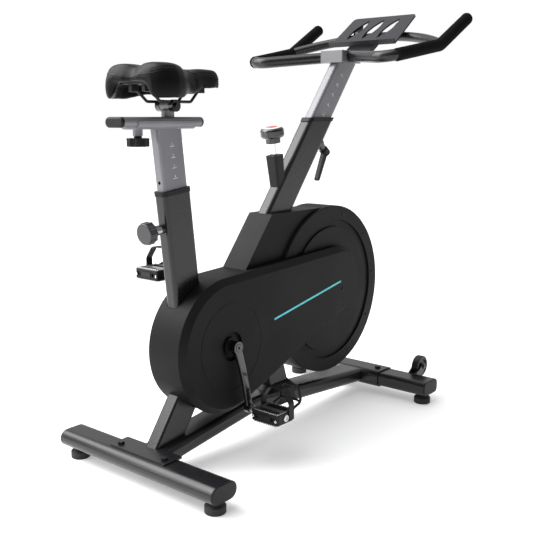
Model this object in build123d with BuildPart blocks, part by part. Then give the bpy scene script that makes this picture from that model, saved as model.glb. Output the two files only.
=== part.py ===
"""Indoor exercise bike: belt-driven flywheel, sliding saddle, rising handlebar and magnetic brake.

Frame: +X forward, +Y to the rider's left, +Z up. The origin is on the floor at mid length and mid width.
All sizes are in millimetres.
"""
import os
from math import cos, sin, radians, degrees, atan2, hypot

from build123d import *

os.makedirs("parts", exist_ok=True)

# ---------------------------------------------------------------- driving dimensions
WALL = 2.5            # tube wall
GAP = 0.3             # clear space between pieces that slide past each other
FIT = 0.05            # radial running clearance of a shaft in its hole

# Stabilisers and feet
REAR_X, FRONT_X = -512, 422
STAB_W, STAB_H, STAB_Z = 83, 43, 53
STAB_HALF = 269
FOOT_Y, FOOT_R = 240, 25
CAP_T = 4

# Transmission
BB = (-275, 302)              # crank axis, X and Z
HUB = (193, 370)              # flywheel axis
CRANK_LEN, CRANK_LEAN = 170, 12.6
CRANK_IN_R, CRANK_IN_L = 85, 60   # inner faces of the crank eyes
EYE_T = 17
PEDAL_Y_R, PEDAL_Y_L = -181, 156
FLY_R, FLY_HALF = 205, 11
PULLEY_R, SMALL_R = 112, 22
BELT_Y = -69.75
SPINDLE_R, AXLE_R = 8.5, 6

# Magnetic brake: the push rod, from its foot above the flywheel to the knob, and the bracket pivot
ROD_FOOT, ROD_HEAD, ROD_R = (28.2, 539.6), (-17.3, 812), 5.5
PIVOT, PIVOT_HALF = (-22, 478), 15.5

# Housings
DRUM_R = 172
NECK_END, NECK_R = (205, 399), 97
DISC_R = 247
SHROUD_TOP = 614
LEFT_DRUM, RIGHT_DRUM = 40, 62
DISC_FACE = 50
SHELL = 2.5
COVER_T = 18

# Sloping tubes: a point on each axis and its lean
HEAD = (-65.7, 540)
HEAD_LEAN = 37.8              # from the vertical, leaning forward
SEAT = (-357, 380)
SEAT_LEAN = -6.7
STRUT = (-454.5, 56)
STRUT_LEAN = 35.0
MID = (-9, 123)
MID_LEAN = -18.2

TUBE_D, TUBE_B, TUBE_R = 88, 38, 10     # seat and head tubes: depth, breadth, corner
POST_D, POST_B, POST_R = 78, 30, 8      # posts that slide in them
STRUT_D, STRUT_B, STRUT_R = 77, 40, 7
BASE_W, BASE_H, BASE_R = 88, 43, 16

# Saddle slider
SLIDE_Z, SLIDE_W, SLIDE_H = 858.5, 60, 24
SLEEVE_X = (-522, -344)
SLIDER_X = (-560, -320)
TILT = (-404, 896)
RAIL_Y, RAIL_R = 22, 3.5

# Handlebar
BAR_R, GRIP_R = 16, 17.5
BLOCK_X, BLOCK_Z, BLOCK_HALF = (250, 346), (1026, 1060), 40

ROD_LEAN = degrees(atan2(ROD_HEAD[0] - ROD_FOOT[0], ROD_HEAD[1] - ROD_FOOT[1]))
ROD_LEN = hypot(ROD_HEAD[0] - ROD_FOOT[0], ROD_HEAD[1] - ROD_FOOT[1])


# ---------------------------------------------------------------- helpers
def lean_plane(point, lean, along=0):
    """Cross-section plane of a tube in the X-Z plane: local X is its depth, local Y is its breadth."""
    a = radians(lean)
    u = Vector(sin(a), 0, cos(a))
    n = Vector(cos(a), 0, -sin(a))
    return Plane(origin=Vector(point[0], 0, point[1]) + u * along, x_dir=n, z_dir=u)


def tube(plane, length, depth, breadth, corner, wall=WALL, cuts=()):
    """A straight rounded-rectangular tube from a plane, open at both ends, coped by the solids in cuts."""
    with BuildPart() as body:
        with BuildSketch(plane):
            RectangleRounded(depth, breadth, corner)
            RectangleRounded(depth - 2 * wall, breadth - 2 * wall, corner - wall, mode=Mode.SUBTRACT)
        extrude(amount=length)
        for cut in cuts:
            add(cut, mode=Mode.SUBTRACT)
    return body


def bar(plane, length, depth, breadth, corner):
    """The same outline as tube, filled, for coping another tube."""
    with BuildPart() as body:
        with BuildSketch(plane):
            RectangleRounded(depth, breadth, corner)
        extrude(amount=length)
    return body.part


def rod(plane, radius, length):
    """A plain round bar that starts at a plane and runs along its normal."""
    with BuildPart() as body:
        with BuildSketch(plane):
            Circle(radius)
        extrude(amount=length)
    return body.part


def across(point, y=0):
    """Plane square to Y through an X-Z point; its normal is +Y and its local X is -X."""
    return Plane(origin=(point[0], y, point[1]), x_dir=(-1, 0, 0), z_dir=(0, 1, 0))


def on_axis(point, lean, along, out=0):
    """X-Z place at a distance along a leaning axis and out from it, forward of the axis."""
    a = radians(lean)
    return (point[0] + along * sin(a) + out * cos(a), point[1] + along * cos(a) - out * sin(a))


def xz(place):
    """An X-Z place as X, Y, Z on the mid-plane."""
    return place[0], 0, place[1]


# ---------------------------------------------------------------- welded frame
BASE_BEND = (-134, 99.5)
BASE_ENDS = ((-490, 53.2), (380, 55.5))
PLATE_T, PLATE_X, PLATE_L, PLATE_W = 4, -502, 60, 196
PLATE_TOP = STAB_Z + STAB_H / 2 + PLATE_T
BOLT_Y, BOLT_HOLE = 77, 5.2
FRONT_W, FRONT_R = 80, 14

with BuildPart() as rear_stabiliser:
    with BuildSketch(Plane.XZ):
        with Locations((REAR_X, STAB_Z)):
            SlotOverall(STAB_W, STAB_H)
            SlotOverall(STAB_W - 2 * WALL, STAB_H - 2 * WALL, mode=Mode.SUBTRACT)
    extrude(amount=STAB_HALF - CAP_T, both=True)
    with BuildSketch(Plane.XY):
        with Locations((REAR_X, FOOT_Y), (REAR_X, -FOOT_Y)):
            Circle(5 + FIT)
    extrude(amount=STAB_Z, mode=Mode.SUBTRACT)
    with BuildSketch(Plane.XY.offset(STAB_Z)):
        with Locations((REAR_X, BOLT_Y), (REAR_X, -BOLT_Y)):
            Circle(BOLT_HOLE)
    extrude(amount=STAB_H, mode=Mode.SUBTRACT)
rear_stabiliser.part.label = "rear_stabiliser"
export_step(rear_stabiliser.part, "parts/rear_stabiliser.step")

with BuildPart() as rear_stabiliser_solid:
    with BuildSketch(Plane.XZ):
        with Locations((REAR_X, STAB_Z)):
            SlotOverall(STAB_W, STAB_H)
    extrude(amount=STAB_HALF, both=True)

with BuildPart() as front_stabiliser:
    with BuildSketch(Plane.XZ):
        with Locations((FRONT_X, STAB_Z)):
            RectangleRounded(FRONT_W, STAB_H, FRONT_R)
            RectangleRounded(FRONT_W - 2 * WALL, STAB_H - 2 * WALL, FRONT_R - WALL, mode=Mode.SUBTRACT)
    extrude(amount=STAB_HALF - CAP_T, both=True)
    with BuildSketch(Plane.XY):
        with Locations((FRONT_X, FOOT_Y), (FRONT_X, -FOOT_Y)):
            Circle(5 + FIT)
    extrude(amount=STAB_Z, mode=Mode.SUBTRACT)
    with BuildSketch(Plane.XY.offset(STAB_Z)):
        with Locations((FRONT_X, BOLT_Y), (FRONT_X, -BOLT_Y)):
            Circle(BOLT_HOLE)
    extrude(amount=STAB_H, mode=Mode.SUBTRACT)
front_stabiliser.part.label = "front_stabiliser"
export_step(front_stabiliser.part, "parts/front_stabiliser.step")

# End caps: a lip outside each tube end and a plug inside it
PLUG = 14
CAP_LIP_REAR = SlotOverall(STAB_W, STAB_H, mode=Mode.PRIVATE)
CAP_LIP_FRONT = RectangleRounded(FRONT_W, STAB_H, FRONT_R, mode=Mode.PRIVATE)
CAP_PLUG_REAR = SlotOverall(STAB_W - 2 * WALL - 0.4, STAB_H - 2 * WALL - 0.4, mode=Mode.PRIVATE)
CAP_PLUG_FRONT = RectangleRounded(FRONT_W - 2 * WALL - 0.4, STAB_H - 2 * WALL - 0.4, FRONT_R - WALL,
                                  mode=Mode.PRIVATE)
with BuildPart() as end_caps:
    for x, lip, plug in ((REAR_X, CAP_LIP_REAR, CAP_PLUG_REAR), (FRONT_X, CAP_LIP_FRONT, CAP_PLUG_FRONT)):
        for side in (1, -1):
            with BuildSketch(Plane.XZ.offset(-side * (STAB_HALF - CAP_T))):
                with Locations((x, STAB_Z)):
                    add(lip)
            extrude(amount=-side * CAP_T)
            with BuildSketch(Plane.XZ.offset(-side * (STAB_HALF - CAP_T))):
                with Locations((x, STAB_Z)):
                    add(plug)
            extrude(amount=side * PLUG)
    rims = end_caps.faces().filter_by(Axis.Y).group_by(Axis.Y)
    chamfer((rims[0] + rims[-1]).edges(), 1.5)
end_caps.part.label = "end_caps"
export_step(end_caps.part, "parts/end_caps.step")

# Outline of the front sleeve, a short tube around the middle of the front stabiliser
SLEEVE_T, SLEEVE_HALF = 4, 103
with BuildPart() as front_sleeve_solid:
    with BuildSketch(Plane.XZ):
        with Locations((FRONT_X, STAB_Z)):
            RectangleRounded(FRONT_W + 2 * SLEEVE_T, STAB_H + 2 * SLEEVE_T, FRONT_R + SLEEVE_T)
    extrude(amount=SLEEVE_HALF, both=True)

# Base tube: a wide flat tube, welded to the front sleeve, with one easy bend under the cranks
base_rise = (BASE_BEND[0] - BASE_ENDS[0][0], BASE_BEND[1] - BASE_ENDS[0][1])


def base_path():
    """The centre line of the base tube."""
    with BuildLine(Plane.XZ) as line:
        FilletPolyline(BASE_ENDS[0], BASE_BEND, BASE_ENDS[1], radius=300)
    return line.line


def base_section(inset, corner):
    """Section of the base tube square to its rear run."""
    start = Plane(origin=(BASE_ENDS[0][0], 0, BASE_ENDS[0][1]), x_dir=(0, 1, 0),
                  z_dir=(base_rise[0], 0, base_rise[1]))
    with BuildSketch(start) as face:
        RectangleRounded(BASE_W - 2 * inset, BASE_H - 2 * inset, corner)
    return face.sketch


with BuildPart() as base_tube_solid:
    sweep(base_section(0, BASE_R), path=base_path())

with BuildPart() as base_tube:
    sweep(base_section(0, BASE_R), path=base_path())
    sweep(base_section(WALL, BASE_R - WALL), path=base_path(), mode=Mode.SUBTRACT)
    add(rear_stabiliser_solid.part, mode=Mode.SUBTRACT)
    add(front_sleeve_solid.part)
    with BuildSketch(Plane.XZ):
        with Locations((FRONT_X, STAB_Z)):
            RectangleRounded(FRONT_W + 0.2, STAB_H + 0.2, FRONT_R + 0.1)
    extrude(amount=SLEEVE_HALF, both=True, mode=Mode.SUBTRACT)
    with BuildSketch(Plane.XY.offset(STAB_Z)):
        with Locations((FRONT_X, BOLT_Y), (FRONT_X, -BOLT_Y)):
            Circle(BOLT_HOLE)
    extrude(amount=STAB_H, mode=Mode.SUBTRACT)
    with Locations((PLATE_X, 0, PLATE_TOP - PLATE_T / 2)):
        Box(PLATE_L, PLATE_W, PLATE_T, mode=Mode.SUBTRACT)
base_tube.part.label = "base_tube"
export_step(base_tube.part, "parts/base_tube.step")

BB_SHELL_R, BB_HALF, BEARING_R = 26, 34, 20
bb_solid = rod(across(BB, -BB_HALF), BB_SHELL_R, 2 * BB_HALF)

# Rear strut, welded to the bolting plate on the rear stabiliser and to the bottom bracket
STRUT_LOW, STRUT_HIGH = -30, 298
strut_solid = bar(lean_plane(STRUT, STRUT_LEAN, STRUT_LOW), STRUT_HIGH - STRUT_LOW, STRUT_D, STRUT_B, STRUT_R)
with BuildPart() as below_plate:
    with Locations((REAR_X, 0, PLATE_TOP - 50)):
        Box(400, 200, 100)
with BuildPart() as rear_strut:
    add(tube(lean_plane(STRUT, STRUT_LEAN, STRUT_LOW), STRUT_HIGH - STRUT_LOW, STRUT_D, STRUT_B, STRUT_R,
             cuts=(below_plate.part, base_tube_solid.part, bb_solid)).part)
    with BuildSketch(Plane.XY.offset(PLATE_TOP - PLATE_T)):
        with Locations((PLATE_X, 0)):
            RectangleRounded(PLATE_L, PLATE_W, 5)
        with Locations((REAR_X, BOLT_Y), (REAR_X, -BOLT_Y)):
            Circle(BOLT_HOLE, mode=Mode.SUBTRACT)
    extrude(amount=PLATE_T)
rear_strut.part.label = "rear_strut"
export_step(rear_strut.part, "parts/rear_strut.step")



def level_slab(low, high):
    """A wide block between two heights, over the head tube."""
    return Pos(200, 0, (low + high) / 2) * Box(500, 300, high - low, mode=Mode.PRIVATE)


# Down tube, which is also the head tube, with the bottom bracket shell and the brake pivot lug
HEAD_LOW, HEAD_HIGH = -318, 446
HEAD_TOP = 863                # the head tube is cut level at this height
head_solid = bar(lean_plane(HEAD, HEAD_LEAN, HEAD_LOW), HEAD_HIGH - HEAD_LOW, TUBE_D, TUBE_B, TUBE_R)
LEVER_AT, LEVER_BOSS = 360, 68
lever_plane = Plane(origin=Vector(*xz(on_axis(HEAD, HEAD_LEAN, LEVER_AT))), x_dir=(0, 1, 0),
                    z_dir=(cos(radians(HEAD_LEAN)), 0, -sin(radians(HEAD_LEAN))))
rod_run = lean_plane(ROD_FOOT, ROD_LEAN)
with BuildPart() as down_tube:
    add(tube(lean_plane(HEAD, HEAD_LEAN, HEAD_LOW), HEAD_HIGH - HEAD_LOW, TUBE_D, TUBE_B, TUBE_R,
             cuts=(bb_solid, strut_solid, rod(lever_plane, 5 + FIT, 60), rod(rod_run, ROD_R + 3, ROD_LEN))).part)
    add(level_slab(HEAD_TOP, HEAD_TOP + 80), mode=Mode.SUBTRACT)
    with BuildSketch(lever_plane.offset(TUBE_D / 2 - WALL)):
        Circle(18)
    with BuildSketch(lever_plane.offset(LEVER_BOSS)):
        Circle(11)
    loft()
    with BuildSketch(lever_plane.offset(TUBE_D / 2 - WALL)):
        Circle(5 + FIT)
    extrude(amount=40, mode=Mode.SUBTRACT)
    with BuildSketch(Plane.XZ.offset(-PIVOT_HALF)):
        with BuildLine():
            Polyline((PIVOT[0] - 52, PIVOT[1] - 10), (PIVOT[0] - 20, PIVOT[1] + 31), (PIVOT[0] - 55, PIVOT[1]),
                     close=True)
            CenterArc((*PIVOT, 0), 10, 0, 360)
        make_hull()
        with Locations(PIVOT):
            Circle(4 + FIT, mode=Mode.SUBTRACT)
    extrude(amount=2 * PIVOT_HALF)
    add(bar(lean_plane(HEAD, HEAD_LEAN, HEAD_LOW), 560, TUBE_D - 2 * WALL, TUBE_B - 2 * WALL, TUBE_R - WALL),
        mode=Mode.SUBTRACT)
    with BuildSketch(across(BB, -BB_HALF)):
        Circle(BB_SHELL_R)
    extrude(amount=2 * BB_HALF)
    with BuildSketch(across(BB, -BB_HALF)):
        Circle(BEARING_R)
    extrude(amount=2 * BB_HALF, mode=Mode.SUBTRACT)
down_tube.part.label = "down_tube"
export_step(down_tube.part, "parts/down_tube.step")

# Seat tube, standing on the strut, with the threaded boss of the locking pin on its back
SEAT_LOW, SEAT_HIGH = -152, 318
PIN_AT, PIN_R = 236, 6
pin_plane = Plane(origin=Vector(*xz(on_axis(SEAT, SEAT_LEAN, PIN_AT))), x_dir=(0, 1, 0),
                  z_dir=(-cos(radians(SEAT_LEAN)), 0, sin(radians(SEAT_LEAN))))
with BuildPart() as seat_tube:
    add(tube(lean_plane(SEAT, SEAT_LEAN, SEAT_LOW), SEAT_HIGH - SEAT_LOW, TUBE_D, TUBE_B, TUBE_R,
             cuts=(bb_solid, strut_solid, head_solid)).part)
    with BuildSketch(pin_plane.offset(TUBE_D / 2 - WALL)):
        Circle(11)
    extrude(amount=WALL + 10)
    with BuildSketch(pin_plane.offset(POST_D / 2)):
        Circle(PIN_R + FIT)
    extrude(amount=30, mode=Mode.SUBTRACT)
seat_tube.part.label = "seat_tube"
export_step(seat_tube.part, "parts/seat_tube.step")

# Mid post, from the base tube up to the down tube, with the two arms that carry the flywheel
MID_D, MID_B = 76, 40
ARM_IN, ARM_OUT = MID_B / 2, MID_B / 2 + 9
AXLE_BEARING_R = 16
ARM_ROOT = (-84, 350)
with BuildPart() as mid_post:
    add(tube(lean_plane(MID, MID_LEAN, -30), 385, MID_D, MID_B, STRUT_R,
             cuts=(base_tube_solid.part, head_solid)).part)
    for side in (1, -1):
        with BuildSketch(Plane.XZ.offset(-side * ARM_IN)):
            with BuildLine():
                CenterArc((*ARM_ROOT, 0), 36, 0, 360)
                CenterArc((*HUB, 0), 27, 0, 360)
            make_hull()
            with Locations(HUB):
                Circle(AXLE_BEARING_R, mode=Mode.SUBTRACT)
        extrude(amount=-side * (ARM_OUT - ARM_IN))
mid_post.part.label = "mid_post"
export_step(mid_post.part, "parts/mid_post.step")

# Moulded boot around the foot of the mid post, sitting over the base tube
with BuildPart() as post_boot:
    with BuildSketch(Plane.XY.offset(74)):
        with Locations((-4, 0)):
            SlotOverall(142, 96)
    with BuildSketch(Plane.XY.offset(112)):
        with Locations((-6, 0)):
            SlotOverall(130, 84)
    with BuildSketch(Plane.XY.offset(128)):
        with Locations((-9, 0)):
            SlotOverall(96, 50)
    loft(ruled=True)
    add(bar(lean_plane(MID, MID_LEAN, -60), 200, MID_D + 0.6, MID_B + 0.6, STRUT_R + 0.3), mode=Mode.SUBTRACT)
    add(base_tube_solid.part, mode=Mode.SUBTRACT)
post_boot.part.label = "post_boot"
export_step(post_boot.part, "parts/post_boot.step")

# Bearings: closed rings, pressed into the bottom bracket shell and into the flywheel arms
with BuildPart() as bearings:
    for place, low, width, outer_r, inner_r in ((BB, -BB_HALF, 12, BEARING_R, SPINDLE_R),
                                                (BB, BB_HALF - 12, 12, BEARING_R, SPINDLE_R),
                                                (HUB, -ARM_OUT, ARM_OUT - ARM_IN, AXLE_BEARING_R, AXLE_R),
                                                (HUB, ARM_IN, ARM_OUT - ARM_IN, AXLE_BEARING_R, AXLE_R)):
        with BuildSketch(across(place, low)):
            Circle(outer_r - 0.01)
            Circle(inner_r + FIT, mode=Mode.SUBTRACT)
        extrude(amount=width)
bearings.part.label = "bearings"
export_step(bearings.part, "parts/bearings.step")

# ---------------------------------------------------------------- crank set
lean = radians(CRANK_LEAN)
CRANK_END_R = (BB[0] + CRANK_LEN * sin(lean), BB[1] - CRANK_LEN * cos(lean))
CRANK_END_L = (BB[0] - CRANK_LEN * sin(lean), BB[1] + CRANK_LEN * cos(lean))
SPINDLE_END = 4           # how far the spindle reaches into each eye from its outer face
spindle_low = -(CRANK_IN_R + EYE_T - SPINDLE_END)
spindle_high = CRANK_IN_L + EYE_T - SPINDLE_END

with BuildPart() as crank_spindle:
    with BuildSketch(across(BB, spindle_low)):
        Circle(SPINDLE_R)
    extrude(amount=spindle_high - spindle_low)
    with BuildSketch(across(BB, -BB_HALF - 6)):
        Circle(SPINDLE_R + 4)
    extrude(amount=5.5)
    with BuildSketch(across(BB, BB_HALF + 0.5)):
        Circle(SPINDLE_R + 4)
    extrude(amount=5.5)
    chamfer(crank_spindle.faces().filter_by(Axis.Y).group_by(Axis.Y)[0].edges(), 1)
    chamfer(crank_spindle.faces().filter_by(Axis.Y).group_by(Axis.Y)[-1].edges(), 1)
crank_spindle.part.label = "crank_spindle"
export_step(crank_spindle.part, "parts/crank_spindle.step")

BELT_W = 11
with BuildPart() as drive_pulley:
    with BuildSketch(across(BB, BELT_Y - BELT_W / 2)):
        Circle(PULLEY_R)
        Circle(PULLEY_R - 9, mode=Mode.SUBTRACT)
    extrude(amount=BELT_W)
    with BuildSketch(across(BB, BELT_Y - 2)):
        Circle(PULLEY_R - 9)
        with PolarLocations(68, 6):
            Circle(22, mode=Mode.SUBTRACT)
    extrude(amount=4)
    with BuildSketch(across(BB, -79)):
        Circle(24)
    extrude(amount=17)
    with BuildSketch(across(BB, -84.5)):
        Circle(15)
    extrude(amount=8)
    with BuildSketch(across(BB, -90)):
        Circle(SPINDLE_R + 0.01)
    extrude(amount=40, mode=Mode.SUBTRACT)
drive_pulley.part.label = "drive_pulley"
export_step(drive_pulley.part, "parts/drive_pulley.step")

# Crank arms: an eye on the spindle, a bowed arm and an eye for the pedal thread
for side, name, inner, end in ((-1, "right_crank", CRANK_IN_R, CRANK_END_R),
                               (1, "left_crank", CRANK_IN_L, CRANK_END_L)):
    with BuildPart() as crank:
        with BuildSketch(Plane.XZ.offset(-side * inner)):
            with Locations(BB):
                Circle(16)
        extrude(amount=-side * EYE_T)
        with BuildSketch(Plane.XZ.offset(-side * (inner + 11))):
            with Locations(end):
                Circle(12.5)
        extrude(amount=-side * 13)
        flare = (end[0] - BB[0], side * 9, end[1] - BB[1])
        for step, (place, deep, thick) in enumerate(((0.02, 25, 14), (0.5, 21, 11.5), (0.98, 20, 12))):
            bow = 5 * (1 - (2 * place - 1) ** 2)
            middle = Vector(BB[0], side * (inner + EYE_T / 2), BB[1]) + Vector(flare) * place
            middle += Vector(bow * cos(lean), 0, bow * sin(lean)) * -side
            with BuildSketch(Plane(origin=middle, x_dir=(cos(lean), 0, sin(lean)), z_dir=flare)):
                RectangleRounded(deep, thick, 4.5)
        loft()
        with BuildSketch(Plane.XZ.offset(-side * (inner - 1))):
            with Locations(BB):
                Circle(SPINDLE_R + 0.01)
        extrude(amount=-side * (EYE_T - SPINDLE_END + 1), mode=Mode.SUBTRACT)
        with BuildSketch(Plane.XZ.offset(-side * (inner + EYE_T - 5))):
            with Locations(BB):
                Circle(11)
        extrude(amount=-side * 20, mode=Mode.SUBTRACT)
        with BuildSketch(Plane.XZ.offset(-side * (inner + 2))):
            with Locations(end):
                Circle(7.01)
        extrude(amount=-side * 40, mode=Mode.SUBTRACT)
    crank.part.label = name
    export_step(crank.part, f"parts/{name}.step")

with BuildPart() as crank_bolts:
    for side, inner in ((-1, CRANK_IN_R), (1, CRANK_IN_L)):
        face = inner + EYE_T - SPINDLE_END
        with BuildSketch(Plane.XZ.offset(-side * (face + 0.02))):
            with Locations(BB):
                Circle(10)
                RegularPolygon(4, 6, mode=Mode.SUBTRACT)
        extrude(amount=-side * 5)
crank_bolts.part.label = "crank_bolts"
export_step(crank_bolts.part, "parts/crank_bolts.step")

# ---------------------------------------------------------------- pedals
PED_X, PED_Y, PED_Z = 66, 86, 28      # platform length, width and height
SPIN_R = 7
for side, hand, inner, end, mid_y in ((-1, "right", CRANK_IN_R, CRANK_END_R, PEDAL_Y_R),
                                      (1, "left", CRANK_IN_L, CRANK_END_L, PEDAL_Y_L)):
    seat_face = side * (inner + 12)
    outer = mid_y + side * PED_Y / 2
    near = mid_y - side * PED_Y / 2
    with BuildPart() as spindle:
        with BuildSketch(Plane.XZ.offset(-seat_face)):
            with Locations(end):
                Circle(SPIN_R)
        extrude(amount=-(outer - side * 10 - seat_face))
        with BuildSketch(Plane.XZ.offset(-side * (inner + 26))):
            with Locations(end):
                RegularPolygon(10.5, 6)
        extrude(amount=-side * 6)
    spindle.part.label = f"{hand}_pedal_spindle"
    export_step(spindle.part, f"parts/{hand}_pedal_spindle.step")

    pedal_plane = Plane(origin=(end[0], mid_y, end[1]))
    with BuildPart() as pedal:
        with BuildSketch(pedal_plane.offset(-PED_Z / 2)):
            RectangleRounded(PED_X, PED_Y, 7)
            with Locations((20.5, 0), (-20.5, 0)):
                RectangleRounded(9, PED_Y - 24, 3, mode=Mode.SUBTRACT)
        extrude(amount=PED_Z)
        chamfer(pedal.faces().filter_by(Axis.Z).group_by(Axis.Z)[0].edges().filter_by(Axis.Y), 2)
        chamfer(pedal.faces().filter_by(Axis.Z).group_by(Axis.Z)[-1].edges().filter_by(Axis.Y), 2)
        with BuildSketch(Plane.XZ.offset(-near)):
            with Locations(end):
                Circle(SPIN_R + FIT)
        extrude(amount=-side * (PED_Y - 8), mode=Mode.SUBTRACT)
        with Locations(Location((end[0], mid_y, end[1]))):
            with GridLocations(PED_X, 56, 2, 2):
                Box(6, 14, 10, mode=Mode.SUBTRACT)
    pedal.part.label = f"{hand}_pedal"
    export_step(pedal.part, f"parts/{hand}_pedal.step")

    # Toe cage: a rounded frame that rises from the front corners, with a bar across its top
    front = end[0] + PED_X / 2
    with BuildPart() as toe_clip:
        with BuildLine() as loop:
            FilletPolyline((front - 1, mid_y - 32, end[1] + 8), (front + 42, mid_y - 32, end[1] + 20),
                           (front + 38, mid_y - 28, end[1] + 62), (front + 38, mid_y + 28, end[1] + 62),
                           (front + 42, mid_y + 32, end[1] + 20), (front - 1, mid_y + 32, end[1] + 8),
                           radius=14)
        with BuildSketch(Plane(origin=loop.line @ 0, z_dir=loop.line % 0)):
            Circle(3.6)
        sweep()
        with BuildLine() as toe_bar:
            FilletPolyline((front + 37, mid_y - 29, end[1] + 22), (front + 47, mid_y - 15, end[1] + 20),
                           (front + 47, mid_y + 15, end[1] + 20), (front + 37, mid_y + 29, end[1] + 22),
                           radius=8)
        with BuildSketch(Plane(origin=toe_bar.line @ 0, z_dir=toe_bar.line % 0)):
            Circle(3.2)
        sweep(path=toe_bar.line)
        with Locations((end[0], mid_y, end[1])):
            Box(PED_X, PED_Y, PED_Z, mode=Mode.SUBTRACT)
        # Strap: a flat band that arches over the foot from side to side
        with BuildSketch(Plane.YZ.offset(end[0] + 9)):
            with BuildLine():
                FilletPolyline((mid_y - PED_Y / 2 - 1.6, end[1] - 9), (mid_y - PED_Y / 2 - 1.6, end[1] + 34),
                               (mid_y - 22, end[1] + 66), (mid_y + 22, end[1] + 66),
                               (mid_y + PED_Y / 2 + 1.6, end[1] + 34), (mid_y + PED_Y / 2 + 1.6, end[1] - 9),
                               radius=15)
            trace(line_width=2.4)
        extrude(amount=20)
    toe_clip.part.label = f"{hand}_toe_clip"
    export_step(toe_clip.part, f"parts/{hand}_toe_clip.step")

# ---------------------------------------------------------------- flywheel set
with BuildPart() as flywheel:
    with BuildSketch(across(HUB, -FLY_HALF)):
        Circle(FLY_R)
        Circle(FLY_R - 42, mode=Mode.SUBTRACT)
    extrude(amount=2 * FLY_HALF)
    with BuildSketch(across(HUB, -4)):
        Circle(FLY_R - 42)
        Circle(AXLE_R + 0.01, mode=Mode.SUBTRACT)
        with PolarLocations(104, 5):
            Circle(32, mode=Mode.SUBTRACT)
    extrude(amount=8)
    with BuildSketch(across(HUB, -(ARM_IN - 1.5))):
        Circle(24)
        Circle(AXLE_R + 0.01, mode=Mode.SUBTRACT)
    extrude(amount=2 * (ARM_IN - 1.5))
flywheel.part.label = "flywheel"
export_step(flywheel.part, "parts/flywheel.step")

with BuildPart() as flywheel_axle:
    with BuildSketch(across(HUB, -76)):
        Circle(AXLE_R)
    extrude(amount=76 + ARM_OUT + 8)
    with BuildSketch(across(HUB, ARM_OUT + 1)):
        RegularPolygon(9.5, 6)
    extrude(amount=6)
    with BuildSketch(across(HUB, -ARM_OUT - 7)):
        Circle(9)
    extrude(amount=6)
flywheel_axle.part.label = "flywheel_axle"
export_step(flywheel_axle.part, "parts/flywheel_axle.step")

with BuildPart() as driven_pulley:
    with BuildSketch(across(HUB, BELT_Y - BELT_W / 2)):
        Circle(SMALL_R)
        Circle(AXLE_R + 0.01, mode=Mode.SUBTRACT)
    extrude(amount=BELT_W)
    with BuildSketch(across(HUB, BELT_Y + BELT_W / 2)):
        Circle(13)
        Circle(AXLE_R + 0.01, mode=Mode.SUBTRACT)
    extrude(amount=18)
driven_pulley.part.label = "driven_pulley"
export_step(driven_pulley.part, "parts/driven_pulley.step")

# Belt: a flat band held a hair off both pulleys, because it stands still while they turn
BELT_T = 3
with BuildPart() as drive_belt:
    for grow, mode in ((GAP + BELT_T, Mode.ADD), (GAP, Mode.SUBTRACT)):
        with BuildSketch(Plane.XZ.offset(-(BELT_Y + BELT_W / 2 - 0.5))):
            with BuildLine():
                CenterArc((*BB, 0), PULLEY_R + grow, 0, 360)
                CenterArc((*HUB, 0), SMALL_R + grow, 0, 360)
            make_hull()
        extrude(amount=BELT_W - 1, mode=mode)
drive_belt.part.label = "drive_belt"
export_step(drive_belt.part, "parts/drive_belt.step")

# ---------------------------------------------------------------- housings
SHROUD_BACK = ((-184, 470), (-69, SHROUD_TOP))   # the sloping back of the shroud, foot and top
SHROUD_HALF = 40
RING_IN, RING_OUT, RING_DEEP = 185, 207, 5       # groove pressed in each flywheel face


def drum_outline(y, grow=0):
    """The drum round the cranks and the neck that runs forward from it, as a face at a given Y."""
    with BuildSketch(Plane.XZ.offset(-y)) as face:
        with BuildLine():
            CenterArc((*BB, 0), DRUM_R + grow, 0, 360)
            CenterArc((*NECK_END, 0), NECK_R + grow, 0, 360)
        make_hull()
    return face.sketch


def shroud_outline(y, grow=0):
    """The shroud that wraps the foot of the down tube, as a face at a given Y."""
    with BuildSketch(Plane.XZ.offset(-y)) as face:
        Polygon(SHROUD_BACK[0], SHROUD_BACK[1], (HUB[0], SHROUD_TOP), HUB, (SHROUD_BACK[0][0], HUB[1]), align=None)
        if grow:
            offset(amount=grow, kind=Kind.INTERSECTION)
    return face.sketch


def disc_outline(y, grow=0):
    """The round flywheel housing, as a face at a given Y."""
    with BuildSketch(Plane.XZ.offset(-y)) as face:
        with Locations(HUB):
            Circle(DISC_R + grow)
    return face.sketch


def face_ring(side, drum_half, radii, near, far, drum_grow):
    """A ring at the flywheel face between two Y depths, less the part that the drum's neck covers."""
    with BuildPart() as ring:
        with BuildSketch(Plane.XZ.offset(-side * near)):
            with Locations(HUB):
                Circle(radii[1])
                Circle(radii[0], mode=Mode.SUBTRACT)
        extrude(amount=-side * (far - near))
        if drum_half > DISC_FACE:
            extrude(drum_outline(0, drum_grow), amount=-side * drum_half, mode=Mode.SUBTRACT)
    return ring.part


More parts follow.
